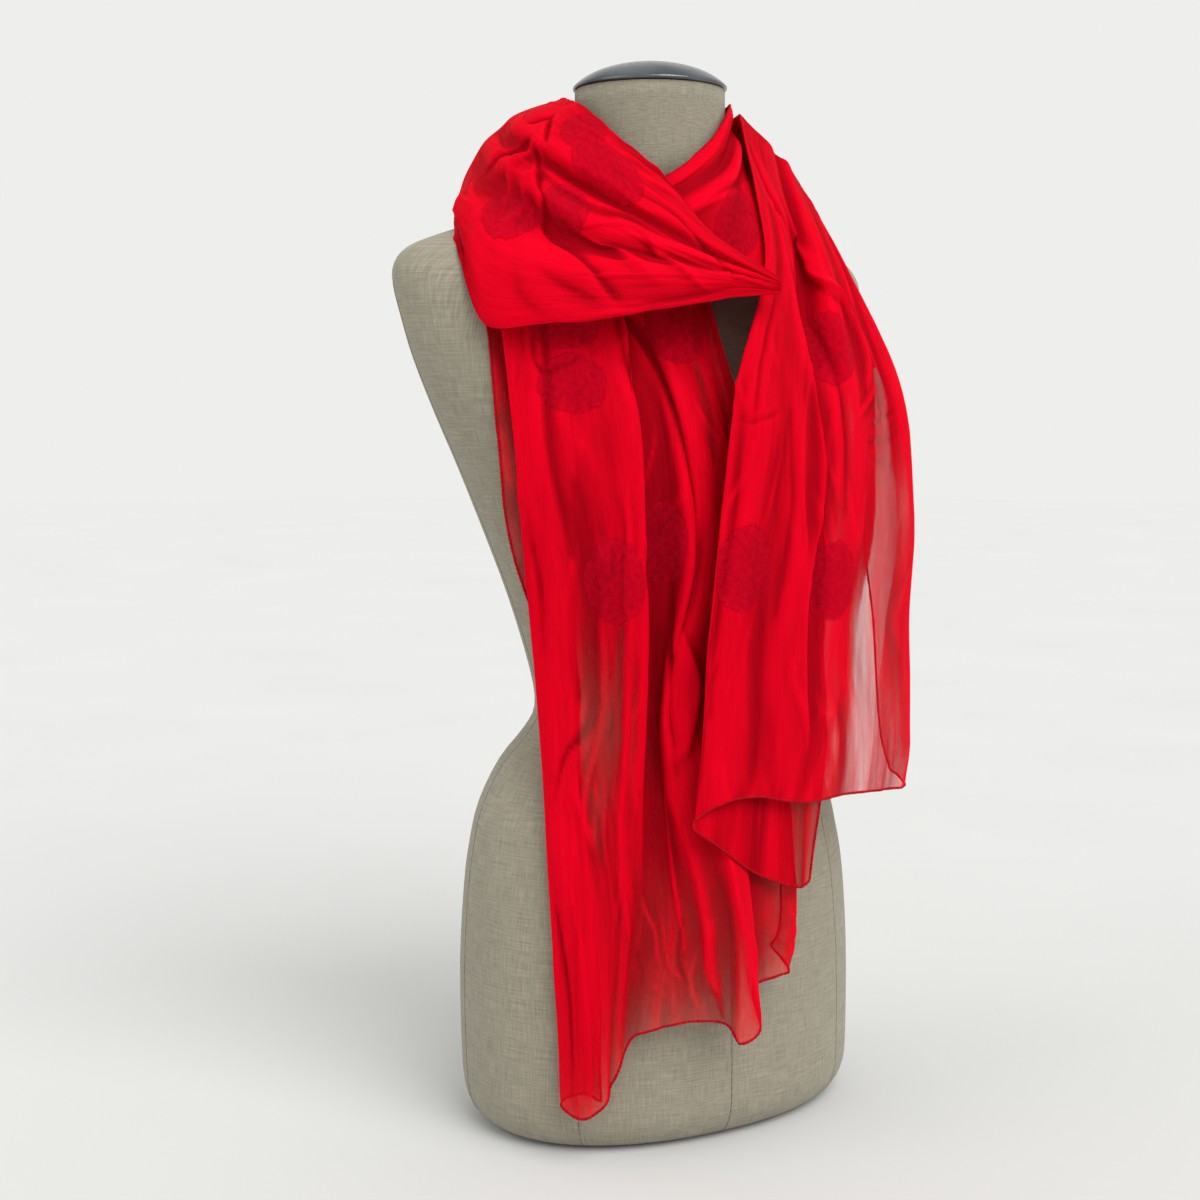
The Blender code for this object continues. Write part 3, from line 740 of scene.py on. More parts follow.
# Each fold line, from one side edge to the other.
# Columns: x and y at heights 655, 600, 520, 440, 320 and 180, then x, y and z at the hem.
LONG_LEVELS = (655, 600, 520, 440, 320, 180)
LONG_FOLDS = (
    ("side edge", -132, -98, -119, -109, -111, -118, -101, -115, -62, -110, -42, -138, -38, -143, 46),
    ("inner turn", -108, -97, -92, -109, -68, -120, -58, -113, -56, -103, -56, -133, -51, -141, 51),
    ("left turn", -118, -102, -108, -114, -99, -125, -92, -121, -84, -112, -74, -137, -67, -146, 46),
    ("tube front", -94, -102, -88, -117, -82, -132, -74, -128, -66, -126, -58, -149, -52, -157, 38),
    ("tube ridge", -70, -98, -64, -118, -54, -133, -46, -127, -42, -124, -36, -150, -34, -156, 50),
    ("panel front", -46, -88, -38, -114, -25, -132, -18, -131, -20, -124, -22, -145, -26, -150, 72),
    ("panel edge", -32, -80, -21, -109, -8, -128, -6, -127, -5, -118, -13, -138, -16, -143, 93),
    ("valley wall", -36, -74, -27, -101, -16, -118, -14, -117, -8, -104, 0, -134, -4, -141, 99),
    ("valley floor", -18, -70, -8, -95, 5, -113, 10, -113, 4, -98, 16, -133, 14, -142, 104),
    ("ridge", -6, -70, 4, -97, 20, -121, 27, -122, 8, -116, 34, -134, 34, -139, 106),
    ("twist", 4, -64, 15, -94, 31, -118, 35, -118, 22, -116, 52, -136, 52, -137, 103),
    ("horn front", 14, -58, 24, -88, 40, -112, 45, -111, 38, -104, 61, -143, 62, -147, 92),
    ("horn turn", 20, -52, 31, -83, 48, -106, 55, -107, 54, -98, 71, -134, 77, -140, 101),
    ("horn back", 22, -46, 36, -78, 53, -101, 63, -102, 66, -92, 71, -122, 73, -128, 127),
    ("strip", 26, -42, 41, -75, 60, -97, 71, -98, 80, -88, 90, -107, 90, -120, 134),
    ("right turn", 31, -37, 46, -70, 67, -92, 79, -93, 94, -82, 106, -97, 99, -115, 137),
    ("far edge", 28, -31, 42, -64, 62, -84, 74, -86, 88, -75, 94, -92, 86, -106, 152),
)
# Plies lying together at each fold line, a row for each level and one for the hem.
LONG_LAYERS = (
    (2.2, 2.4, 3.0, 3.4, 3.4, 3.4, 3.2, 3.2, 3.2, 3.2, 3.2, 3.0, 2.6, 1.8, 1.3, 1.0, 1.0),
    (2.0, 2.2, 2.8, 3.4, 3.4, 3.4, 3.2, 3.2, 3.2, 3.2, 3.2, 3.0, 2.4, 1.6, 1.1, 1.0, 1.0),
    (1.8, 2.0, 2.6, 3.2, 3.4, 3.2, 3.2, 3.2, 3.2, 3.2, 3.0, 2.8, 2.4, 2.0, 1.8, 1.4, 1.0),
    (1.6, 2.0, 2.4, 3.0, 3.0, 3.0, 3.0, 3.0, 3.0, 3.2, 3.0, 2.6, 2.4, 2.2, 2.0, 1.6, 1.0),
    (1.4, 2.0, 2.2, 2.4, 1.2, 1.4, 2.6, 2.6, 2.4, 2.6, 2.6, 2.4, 2.4, 2.2, 2.0, 1.6, 1.0),
    (1.2, 1.8, 2.2, 2.2, 2.2, 2.0, 1.5, 1.4, 1.5, 1.3, 1.3, 1.6, 2.0, 1.7, 1.5, 1.6, 1.0),
    (1.0, 1.0, 1.2, 1.4, 1.2, 1.2, 1.0, 1.0, 1.0, 1.0, 1.0, 1.1, 1.2, 1.2, 1.0, 1.2, 1.0),
)
# Creases: a line of places, each a fold line and a level, then the reach to its left and
# right and its height in millimetres. A short reach on one side makes a folded edge.
LONG_CREASES = (
    (((5.5, 0.3), (5.6, 1.3), (6.4, 1.8), (6.3, 2.5), (6.1, 3.2)), 3, 5, -3.5),
    (((6.1, 0.5), (7.8, 1.1), (8.5, 1.6), (8.8, 2.0), (9.1, 2.5), (9.6, 3.1), (9.3, 3.5),
      (8.9, 3.7)), 3, 5, -7),
    (((3.0, 1.0), (3.2, 1.4), (4.3, 1.3)), 1.5, 3, -2),
    (((2.6, 4.5), (2.9, 4.2), (3.9, 4.0), (4.1, 3.7), (4.2, 3.2)), 1.5, 6, -3),
    (((4.2, 3.4), (4.3, 3.9), (3.6, 4.4), (3.5, 4.8)), 2, 2, 3),
    (((5.2, 3.0), (5.0, 3.5), (5.0, 4.1), (4.7, 4.7), (5.3, 5.1)), 2.5, 2.5, 4),
    (((3.9, 4.3), (4.1, 4.5), (4.2, 4.7)), 1.5, 1.5, 2),
    (((8.0, 3.2), (8.3, 3.5), (8.9, 3.8), (9.4, 4.1), (9.2, 4.3)), 2, 6, -6),
    (((9.4, 3.5), (10.5, 3.8), (10.1, 4.1), (9.3, 4.2)), 6, 1.5, 5),
    (((8.2, 4.4), (8.0, 4.7), (8.3, 5.2)), 2, 2, 3),
    (((9.2, 4.5), (9.2, 5.2), (9.9, 5.9)), 2, 3, 3.5),
    (((10.9, 4.5), (11.2, 5.1), (12.0, 5.9)), 2, 2, 3.5),
    (((2.4, 2.6), (2.7, 3.2), (2.5, 3.8)), 3, 3, -2.5),
    (((2.6, 0.3), (3.4, 0.8), (3.3, 2.0), (3.6, 3.0)), 2.5, 5, -3),
    (((2.4, 4.9), (2.8, 5.4), (2.7, 5.9)), 2, 3, -3),
    (((3.1, 4.9), (3.4, 5.6), (3.2, 5.9)), 2, 2, 3),
    (((6.4, 4.9), (6.9, 5.05), (7.2, 5.3)), 1.5, 1.5, 1.8),
    (((7.4, 5.0), (7.6, 5.3), (8.3, 5.45)), 1.5, 1.5, 2.2),
    (((8.3, 5.0), (8.1, 5.3), (8.6, 5.6)), 1.5, 1.5, -2),
    (((8.8, 5.2), (8.5, 5.5), (8.9, 5.75)), 1.5, 1.5, 2),
    (((9.4, 5.0), (9.1, 5.35), (9.5, 5.6)), 1.5, 1.5, 1.8),
    (((7.0, 5.5), (7.6, 5.6)), 1.5, 1.5, 1.6),
    (((6.2, 5.2), (6.7, 5.5)), 1.5, 1.5, -1.6),
    (((7.9, 5.5), (8.0, 5.8)), 1.5, 1.5, 1.8),
)
# Thin and thick places: a line of places, the reach to each side and the plies there.
LONG_PATCHES = (
    (((4.8, 3.45), (4.7, 3.9), (4.0, 4.5)), 10, 1.0),
    (((3.8, 4.35), (4.0, 4.7)), 6, 1.0),
    (((10.9, 1.2), (11.0, 1.7), (10.9, 2.2)), 6, 1.0),
    (((7.0, 3.6), (7.0, 4.4)), 10, 1.5),
    (((2.6, 4.35), (3.0, 4.9)), 9, 3.0),
    (((5.2, 3.0), (5.0, 3.5), (5.0, 4.1), (4.7, 4.7), (5.3, 5.1)), 4, 2.6),
    (((9.2, 4.5), (9.2, 5.2), (9.9, 5.9)), 4, 2.0),
    (((10.9, 4.5), (11.2, 5.1), (12.0, 5.9)), 4, 2.4),
    (((8.2, 4.4), (8.0, 4.7), (8.3, 5.2)), 4, 2.2),
)
long_grid = build_grid(level_sections(LONG_FOLDS, LONG_LEVELS, False), 180, 250, 1, (2.4, 0.7, 3.0, 5.0),
                       LONG_CREASES, (1, 0))
long_tail = add_cloth("scarf_long_tail", "tail_long", long_grid, LONG_LAYERS, LONG_PATCHES)
long_hem = add_hem("rolled_hem_long_tail", edge_line(long_grid[0], ("left", "hem", "right")), 1.0)

# ---------------------------------------------------------------- short tail
# The other end: it comes over the shoulder and falls in a broad soft panel to the waist,
# turned back on itself at both sides, so its second hem shows below the first.

# Each fold line, from the outer side edge to the hidden one.
# Columns: x, y, z on the shoulder, x and y at heights 650, 560, 470, 380 and 300, then x, y, z at the hem.
SHORT_LEVELS = (650, 560, 470, 380, 300)
SHORT_FOLDS = (
    ("side edge", 115, 88, 706, 143, 28, 160, 8, 158, -8, 169, -6, 175, -8, 184, -4, 264),
    ("outer turn", 120, 80, 712, 148, 22, 187, 0, 197, -10, 196, -8, 198, -10, 195, -10, 253),
    ("window", 115, 68, 720, 143, 8, 172, -24, 178, -36, 176, -36, 178, -36, 176, -36, 254),
    ("outer panel", 108, 56, 728, 134, -6, 154, -46, 160, -60, 154, -64, 154, -64, 152, -64, 258),
    ("outer ridge", 102, 44, 736, 124, -22, 136, -68, 138, -82, 132, -88, 132, -88, 130, -90, 260),
    ("crease", 93, 40, 740, 108, -12, 113, -72, 117, -90, 115, -94, 113, -102, 108, -112, 261),
    ("inner ridge", 88, 30, 747, 102, -36, 104, -92, 102, -108, 97, -112, 96, -116, 90, -122, 265),
    ("inner panel", 77, 19, 755, 95, -54, 88, -108, 80, -122, 74, -124, 74, -126, 72, -130, 269),
    ("front", 68, 10, 762, 86, -70, 69, -122, 58, -134, 49, -137, 46, -139, 48, -142, 266),
    ("inner turn", 63, 5, 766, 79, -75, 57, -124, 45, -134, 36, -137, 32, -140, 27, -149, 252),
    ("back fold", 66, 16, 758, 90, -58, 68, -112, 59, -123, 52, -126, 50, -130, 44, -140, 236),
    ("back panel", 79, 32, 747, 99, -38, 88, -96, 83, -110, 79, -113, 79, -116, 74, -124, 211),
    ("back drop", 88, 50, 736, 110, -4, 108, -62, 109, -80, 107, -86, 108, -98, 106, -108, 197),
    ("hidden edge", 97, 66, 724, 118, 4, 124, -50, 125, -66, 124, -74, 126, -86, 115, -100, 201),
)
# Plies at each fold line, a row for the shoulder, one for each level and one for the hem.
SHORT_LAYERS = (
    (2.6, 3.0, 3.2, 3.2, 3.2, 3.2, 3.2, 3.2, 3.2, 3.0, 2.4, 2.4, 2.4, 2.4),
    (2.2, 3.0, 3.2, 3.2, 3.2, 3.2, 3.2, 3.2, 3.2, 3.0, 2.4, 2.4, 2.4, 2.0),
    (1.4, 2.0, 2.6, 3.0, 3.2, 3.2, 3.2, 3.2, 3.2, 2.8, 2.4, 2.4, 2.2, 1.6),
    (1.0, 1.4, 1.1, 2.6, 3.0, 3.2, 3.2, 3.2, 3.0, 2.6, 2.2, 2.2, 2.0, 1.4),
    (1.0, 1.5, 1.4, 1.0, 2.6, 3.0, 3.0, 3.0, 2.8, 2.4, 2.2, 2.2, 2.0, 1.4),
    (1.0, 1.3, 1.0, 1.0, 2.2, 2.8, 3.0, 3.0, 2.8, 2.4, 2.2, 2.2, 1.8, 1.2),
    (1.0, 1.0, 1.0, 1.0, 1.6, 2.4, 2.6, 2.6, 2.4, 2.2, 2.2, 2.0, 1.5, 1.0),
)
SHORT_CREASES = (
    (((8.0, 0.3), (6.9, 0.6), (5.9, 0.75), (6.1, 0.95)), 2.5, 3, -9),
    (((5.9, 0.55), (4.6, 0.9), (4.4, 1.1), (3.2, 1.35), (2.6, 1.7), (2.8, 2.0)), 8, 2, 6),
    (((7.2, 0.7), (7.0, 1.0), (6.3, 1.4), (5.1, 2.0), (4.8, 2.4), (4.8, 2.8), (5.3, 3.4),
      (5.4, 4.0), (5.2, 5.0)),
     1.8, 9, 5),
    (((5.6, 1.2), (4.4, 1.7), (3.9, 2.2), (3.9, 3.0)), 6, 6, -5),
    (((8.2, 2.2), (8.1, 3.0), (8.2, 3.6), (8.3, 4.6)), 3, 5, -3.5),
    (((6.9, 3.6), (7.0, 4.7), (7.2, 5.8)), 3, 5, -3),
    (((2.4, 2.0), (2.8, 2.1), (3.5, 2.25)), 1, 2, 2.5),
    (((2.8, 2.3), (1.8, 2.2)), 1, 1.5, -2),
    (((3.1, 2.45), (1.8, 2.42)), 1, 1.5, -1.5),
    (((2.9, 2.6), (2.0, 2.65)), 1, 1.5, -1),
    (((9.1, 2.2), (8.9, 3.2), (8.8, 4.4), (8.9, 5.9)), 2, 3, -3),
    (((7.6, 1.0), (7.9, 1.6), (7.7, 2.4)), 3, 3, -2.5),
    (((6.4, 2.2), (6.2, 3.0), (6.5, 3.8)), 3, 4, -2.5),
    (((7.0, 2.2), (7.8, 2.28), (8.4, 2.25)), 1.5, 2, -1.2),
)
SHORT_PATCHES = (
    (((2.2, 1.9), (2.3, 2.5), (2.3, 3.2), (2.7, 4.0), (2.9, 4.8), (2.9, 6.0)), 18, 0.8),
    (((4.0, 4.6), (3.9, 5.3), (3.8, 6.0)), 5, 1.6),
)
short_grid = build_grid(level_sections(SHORT_FOLDS, SHORT_LEVELS, True), 180, 250, -1, (2.4, 0.7, 2.6, 9.0),
                        SHORT_CREASES, (1, 0))
short_tail = add_cloth("scarf_short_tail", "tail_short", short_grid, SHORT_LAYERS, SHORT_PATCHES)
short_hem = add_hem("rolled_hem_short_tail", edge_line(short_grid[0], ("left", "hem", "right")), 2.0)

# ---------------------------------------------------------------- cowl
# The turn across the chest: the cloth is bunched at the left of the neck and fans out
# in a full soft loop, folded under along its lower edge, its own hem lying over it.

# Angles round the neck, in degrees from the chest, positive towards +x of the drape.
COWL_ANGLES = (38, 24, 8, -10, -28, -42, -54, -68, -90)
# Each fold line, from its neck edge to its lower edge: radius and height at each angle.
COWL_FOLDS = (
    ("neck edge", 147, 637, 112, 668, 85, 708, 77, 731, 73, 752, 70, 764, 68, 771, 66, 775, 66, 778),
    ("band", 149, 635, 122, 663, 99, 697, 94, 719, 93, 739, 91, 751, 90, 760, 89, 767, 86, 773),
    ("rolled ridge", 151, 633, 131, 654, 114, 678, 113, 698, 113, 718, 110, 733, 108, 745, 107, 755, 104, 766),
    ("under ridge", 150, 632, 130, 648, 114, 666, 110, 682, 108, 702, 108, 718, 110, 730, 112, 741, 114, 757),
    ("second ridge", 151, 631, 139, 643, 131, 657, 132, 669, 128, 686, 124, 704, 122, 719, 123, 732, 126, 747),
    ("second valley", 150, 630, 140, 637, 133, 645, 130, 653, 127, 666, 126, 684, 128, 702, 132, 716, 135, 733),
    ("belly top", 151, 629, 147, 635, 145, 639, 148, 642, 153, 653, 153, 668, 150, 688, 148, 702, 143, 717),
    ("belly", 151, 627, 149, 629, 149, 627, 155, 625, 166, 631, 170, 640, 164, 668, 155, 690, 147, 699),
    ("lower edge", 149, 625, 147, 622, 147, 615, 154, 609, 168, 602, 175, 605, 168, 654, 155, 684, 145, 683),
    ("turned under", 144, 627, 142, 625, 141, 621, 147, 617, 161, 611, 168, 613, 164, 664, 150, 688, 120, 676),
)
COWL_LAYERS = (
    (3.0, 3.2, 3.2, 3.2, 3.2, 3.2, 3.2, 3.2, 3.2, 3.0),
    (3.0, 3.2, 3.2, 3.2, 3.2, 3.2, 3.2, 3.2, 3.2, 3.0),
    (3.0, 3.2, 3.4, 3.4, 3.4, 3.4, 3.4, 3.4, 3.2, 3.0),
    (3.0, 3.2, 3.4, 3.4, 3.4, 3.4, 3.4, 3.4, 3.2, 3.0),
    (3.0, 3.2, 3.4, 3.4, 3.4, 3.4, 3.4, 3.4, 3.2, 2.6),
    (2.6, 3.0, 3.2, 3.2, 3.2, 3.2, 3.2, 2.8, 2.4, 1.6),
    (2.4, 2.8, 3.0, 3.0, 3.0, 2.8, 2.2, 1.5, 1.1, 1.0),
    (2.2, 2.4, 2.4, 2.2, 1.6, 1.3, 1.4, 1.2, 1.0, 1.0),
    (2.2, 2.4, 2.2, 1.6, 1.5, 1.6, 1.4, 1.3, 1.2, 1.2),
)
COWL_CREASES = (
    (((3.3, 5.2), (3.5, 4.1), (3.4, 3.4), (3.2, 2.8), (3.4, 2.2)), 1.0, 10, 3.5),
    (((2.6, 5.7), (4.0, 4.8), (5.1, 4.5), (5.5, 3.8)), 2, 6, -4.5),
    (((5.1, 4.5), (5.3, 4.0), (5.9, 3.4), (6.7, 3.1), (7.4, 2.9)), 2.5, 7, -4.5),
    (((4.5, 3.8), (5.1, 3.0), (6.4, 2.4)), 4, 9, 4.5),
    (((4.4, 3.6), (3.8, 2.7), (5.0, 2.2), (6.1, 1.9), (7.1, 1.6)), 1.3, 9, 3),
    (((1.8, 2.7), (1.8, 1.8), (3.6, 1.2), (6.6, 1.0)), 1.5, 5, -2.2),
    (((1.7, 6.4), (1.1, 5.9)), 2, 4, -5),
    (((1.1, 5.9), (1.5, 5.5), (2.0, 5.1)), 2, 4, -4),
    (((2.4, 5.7), (4.0, 6.1), (5.4, 5.7)), 4, 7, 3),
    (((2.3, 5.4), (3.4, 5.2), (4.6, 5.3), (6.2, 5.0)), 6, 4, 3),
    (((2.3, 6.0), (3.4, 6.6), (4.8, 7.0)), 3, 6, -3.5),
    (((2.0, 5.6), (3.0, 5.9), (4.4, 6.4)), 2, 4, 2.5),
    (((8.4, 3.6), (7.9, 2.9), (8.3, 2.5)), 4, 6, 2.6),
    (((7.5, 3.0), (7.0, 3.5), (6.4, 4.2)), 5, 9, -1.8),
    (((7.6, 2.7), (7.5, 2.0), (7.4, 1.2)), 4, 8, -1.6),
    (((5.4, 1.4), (6.2, 0.8), (6.6, 0.3)), 3, 5, 1.6),
    (((5.9, 4.6), (7.2, 4.3), (8.1, 3.6)), 9, 7, -1.7),
    (((6.4, 5.8), (7.2, 5.2), (8.0, 4.4)), 8, 10, 2.0),
)
cowl_sections = ring_sections(COWL_FOLDS, COWL_ANGLES)
cowl_grid = build_grid(cowl_sections, 150, 220, 1, (2.0, 0.8, 2.0, 13.0), COWL_CREASES, (0, 1))
cowl = add_cloth("scarf_cowl", "cowl_front", cowl_grid, COWL_LAYERS)
cowl_hem = add_hem("rolled_hem_cowl", edge_line(cowl_grid[0], ("right",)), 3.0)

# ---------------------------------------------------------------- back of the wrap
# The cowl goes on round the back of the neck in slack lengthwise folds, and over the
# right shoulder, where the short tail starts.

# The outer wrap runs from the cowl's last section to the short tail's first.
BACK_ANGLES = (-125, -160, -195, -215, -232)
BACK_FOLDS = (
    ("neck edge", 66, 776, 66, 774, 67, 771, 80, 753, 102, 734),
    ("band", 78, 774, 76, 772, 74, 772, 72, 764, 86, 748),
    ("first ridge", 92, 766, 89, 762, 84, 765, 72, 773, 74, 760),
    ("first valley", 97, 752, 91, 748, 88, 750, 85, 769, 75, 768),
    ("second ridge", 109, 742, 103, 736, 99, 738, 96, 757, 83, 767),
    ("second valley", 112, 726, 104, 720, 101, 722, 100, 743, 93, 758),
    ("third ridge", 122, 714, 115, 706, 111, 707, 110, 730, 105, 749),
    ("third valley", 122, 698, 114, 690, 112, 692, 116, 713, 118, 736),
    ("lower edge", 126, 682, 120, 673, 122, 680, 128, 700, 132, 722),
    ("turned under", 94, 670, 82, 667, 82, 671, 98, 690, 126, 706),
)
BACK_LAYERS = (
    (2.2, 2.4, 2.4, 2.4, 2.2, 2.0, 1.6, 1.4, 1.4, 1.6),
    (2.4, 2.8, 2.8, 2.8, 2.8, 2.6, 2.4, 2.0, 1.8, 1.8),
    (2.6, 3.0, 3.0, 3.0, 3.0, 3.0, 2.6, 2.4, 2.2, 2.4),
)
BACK_CREASES = (
    (((3.1, 0.4), (3.6, 2.0), (4.0, 4.0)), 3, 5, -3.5),
    (((6.7, 0.6), (7.0, 2.6), (7.6, 4.4)), 3, 5, -4),
    (((9.8, 0.3), (9.4, 2.0), (8.9, 3.6)), 5, 3, 3),
    (((12.4, 0.8), (13.0, 3.0), (13.8, 5.2)), 3, 5, -3),
    (((15.6, 0.4), (15.1, 2.0), (14.7, 3.2)), 3, 4, 3),
    (((17.3, 1.4), (16.9, 3.2), (16.4, 5.0)), 3, 3, -2.5),
)
back_rows = ring_sections(BACK_FOLDS, BACK_ANGLES)
short_sections = level_sections(SHORT_FOLDS, SHORT_LEVELS, True)
outer_sections = [spline(section, 20) for section in (cowl_sections[-1], *back_rows, short_sections[0][::-1])]
back_grid = build_grid(outer_sections, 130, 160, 1, (1.5, 0.6, 1.4, 21.0), BACK_CREASES, (1, 1))
back_wrap = add_cloth("scarf_back_wrap", "wrap_outer", back_grid, BACK_LAYERS)
back_hem = add_hem("rolled_hem_back_wrap", edge_line(back_grid[0], ("right",)), 4.0)

# ---------------------------------------------------------------- inner wrap
# Under it all the scarf lies close round the neck in narrow folds, comes forward over
# the right shoulder and crosses the chest, where it is tucked behind the cowl.

# The inner wrap: from the hidden left front, behind the neck, down to the crossing at the chest.
INNER_ANGLES = (-62, -100, -140, -180, -220, -250, -270, -290, -310, -326, -344, -366)
INNER_FOLDS = (
    ("neck edge", 61, 768, 61, 772, 61, 772, 61, 772, 61, 772, 61, 773, 61, 773,
     61, 762, 62, 744, 64, 731, 71, 716, 78, 702),
    ("first ridge", 64, 762, 64, 765, 64, 765, 64, 765, 64, 765, 64, 767, 64, 766,
     65, 755, 69, 737, 74, 724, 79, 709, 84, 694),
    ("first valley", 62, 752, 62, 754, 62, 754, 62, 754, 62, 755, 62, 757, 62, 756,
     65, 744, 71, 726, 77, 713, 82, 699, 86, 684),
    ("second ridge", 67, 744, 66, 746, 66, 745, 66, 745, 66, 746, 67, 749, 68, 746,
     73, 735, 82, 716, 88, 703, 92, 687, 94, 671),
    ("second valley", 68, 735, 66, 736, 66, 735, 66, 735, 66, 736, 67, 741, 68, 737,
     74, 725, 85, 704, 93, 690, 96, 673, 98, 658),
    ("third ridge", 73, 729, 71, 728, 70, 726, 70, 726, 71, 728, 72, 734, 74, 729,
     83, 708, 101, 676, 109, 658, 108, 650, 107, 642),
    ("lower edge", 77, 725, 74, 721, 73, 718, 73, 718, 74, 721, 77, 728, 79, 722,
     92, 690, 114, 648, 120, 632, 115, 630, 112, 628),
)
INNER_LAYERS = ((3.0,) * 7, (3.2,) * 7)
INNER_CREASES = (
    (((0.8, 5.6), (1.1, 8.0), (1.4, 10.4)), 2, 4, -1.6),
    (((1.8, 6.0), (2.0, 7.4), (2.2, 8.8)), 3, 5, -2),
    (((2.6, 6.4), (3.0, 8.6), (3.6, 10.6)), 3, 3, 2.2),
    (((3.6, 6.6), (4.1, 8.0), (4.9, 9.4)), 3, 5, -1.6),
    (((1.0, 0.5), (1.4, 5.6)), 3, 3, -1.6),
    (((3.0, 0.6), (3.2, 5.4)), 3, 3, -1.6),
    (((4.4, 7.4), (3.9, 8.6), (3.2, 10.2)), 2, 5, 1.8),
)
inner_grid = build_grid(ring_sections(INNER_FOLDS, INNER_ANGLES), 80, 240, 1, (0.8, 0.4, 0.8, 29.0),
                        INNER_CREASES)
inner_wrap = add_cloth("scarf_inner_wrap", "wrap_inner", inner_grid, INNER_LAYERS)
inner_hem = add_hem("rolled_hem_inner_wrap", edge_line(inner_grid[0], ("left",)), 5.0)

# ---------------------------------------------------------------- felted spots
# Discs of merino wool laid on the chiffon, wetted and rubbed until the fibres work
# through it and mat together: thick and matt, ending in a crisp and slightly ragged rim.

FELT = 0.7
FELT_STEPS = 30

# Stretch, place across and along it as shares of it, and size across and along it.
SPOTS = (
    ("cowl", 0.10, 0.53, 44, 44),
    ("cowl", 0.18, 0.42, 50, 68),
    ("cowl", 0.44, 0.50, 44, 46),
    ("cowl", 0.62, 0.665, 50, 52),
    ("inner", 0.76, 0.77, 54, 62),
    ("back", 0.40, 0.24, 54, 50),
    ("back", 0.68, 0.50, 54, 50),
    ("long", 0.25, 0.15, 56, 46),
    ("long", 0.25, 0.25, 54, 46),
    ("long", 0.62, 0.17, 50, 56),
    ("long", 0.29, 0.53, 50, 66),
    ("long", 0.49, 0.485, 44, 66),
    ("short", 0.32, 0.28, 54, 64),
    ("short", 0.33, 0.59, 50, 62),
    ("short", 0.585, 0.57, 50, 68),
    ("short", 0.84, 0.52, 46, 60),
)
# The grid of each stretch, and the side that shows: 1 where its normal points out, or -1.
stretches = {
    "cowl": (cowl_grid, 1),
    "inner": (inner_grid, 1),
    "back": (back_grid, 1),
    "long": (long_grid, 1),
    "short": (short_grid, -1),
}


def felt_material():
    """Wet-felted merino on silk: matt matted fibres, deep crimson, ending in a crisp rim."""
    made, tree, output = new_material("felted_merino_wool")
    place = add_node(tree, "ShaderNodeUVMap", {"uv_map": "cloth"}, {}).outputs["UV"]
    # Fibre locks are 1.5 to 4 mm long and drawn 0.8 mm wide; pills are about 5 mm apart.
    warped = add_node(tree, "ShaderNodeTexNoise", {}, {"Vector": place, "Scale": 150.0, "Detail": 2.0})
    moved = add_node(tree, "ShaderNodeMix", {"data_type": 'VECTOR'},
                     {"Factor": 0.006, 4: place, 5: warped.outputs["Color"]})
    fibres = add_node(tree, "ShaderNodeTexNoise", {},
                      {"Vector": moved.outputs[1], "Scale": 900.0, "Detail": 4.0, "Roughness": 0.7})
    pills = add_node(tree, "ShaderNodeTexNoise", {}, {"Vector": place, "Scale": 210.0, "Detail": 3.0})
    both = add_node(tree, "ShaderNodeMath", {"operation": 'ADD'}, {0: fibres.outputs[0], 1: pills.outputs[0]})
    hollow = add_node(tree, "ShaderNodeAttribute", {"attribute_name": "hollow"}, {}).outputs["Fac"]
    rim = add_node(tree, "ShaderNodeAttribute", {"attribute_name": "rim"}, {}).outputs["Fac"]
    # Painted shade and painted light: the colour darkens where the cloth under the spot lies in a hollow, and
    # lightens towards the rim.
    tone = add_node(tree, "ShaderNodeMath", {"operation": 'MULTIPLY_ADD'},
                    {0: hollow, 1: -0.22, 2: both.outputs[0]})
    tone = add_node(tree, "ShaderNodeMath", {"operation": 'MULTIPLY_ADD'},
                    {0: rim, 1: 0.12, 2: tone.outputs[0]})
    ramp = add_node(tree, "ShaderNodeValToRGB", {}, {0: add_node(
        tree, "ShaderNodeMapRange", {}, {0: tone.outputs[0], 1: 0.55, 2: 1.55}).outputs[0]})
    ramp.color_ramp.elements[0].color = colour("7E0010")
    ramp.color_ramp.elements[1].color = colour("CA001E")
    ramp.color_ramp.elements.new(0.5).color = colour("A80018")
    relief = add_node(tree, "ShaderNodeBump", {},
                      {"Strength": 0.5, "Distance": 0.0006, "Height": both.outputs[0]})
    wool = add_node(tree, "ShaderNodeBsdfPrincipled", {},
                    {"Base Color": ramp.outputs[0], "Roughness": 1.0, "Specular IOR Level": 0.05,
                     "Sheen Weight": 0.3, "Sheen Roughness": 0.6, "Sheen Tint": colour("C00018"),
                     "Normal": relief.outputs[0]})
    # The cover ends just short of the rim, along a line broken up by the fibres.
    broken = add_node(tree, "ShaderNodeMath", {"operation": 'MULTIPLY_ADD'},
                      {0: both.outputs[0], 1: -0.4, 2: rim})
    cover = add_node(tree, "ShaderNodeMapRange", {}, {0: broken.outputs[0], 1: 0.42, 2: 0.5, 3: 0.94, 4: 0.0})
    clear = add_node(tree, "ShaderNodeBsdfTransparent", {}, {})
    mixed = add_node(tree, "ShaderNodeMixShader", {},
                     {0: cover.outputs[0], 1: clear.outputs[0], 2: wool.outputs[0]})
    tree.links.new(mixed.outputs[0], output.inputs[0])
    return made


felt = felt_material()


def at_place(values, place):
    """Index, with its fraction, at which a rising list reaches a value."""
    place = min(max(place, values[0]), values[-1])
    k = 0
    while k < len(values) - 2 and values[k + 1] < place:
        k += 1
    return k + (place - values[k]) / (values[k + 1] - values[k])


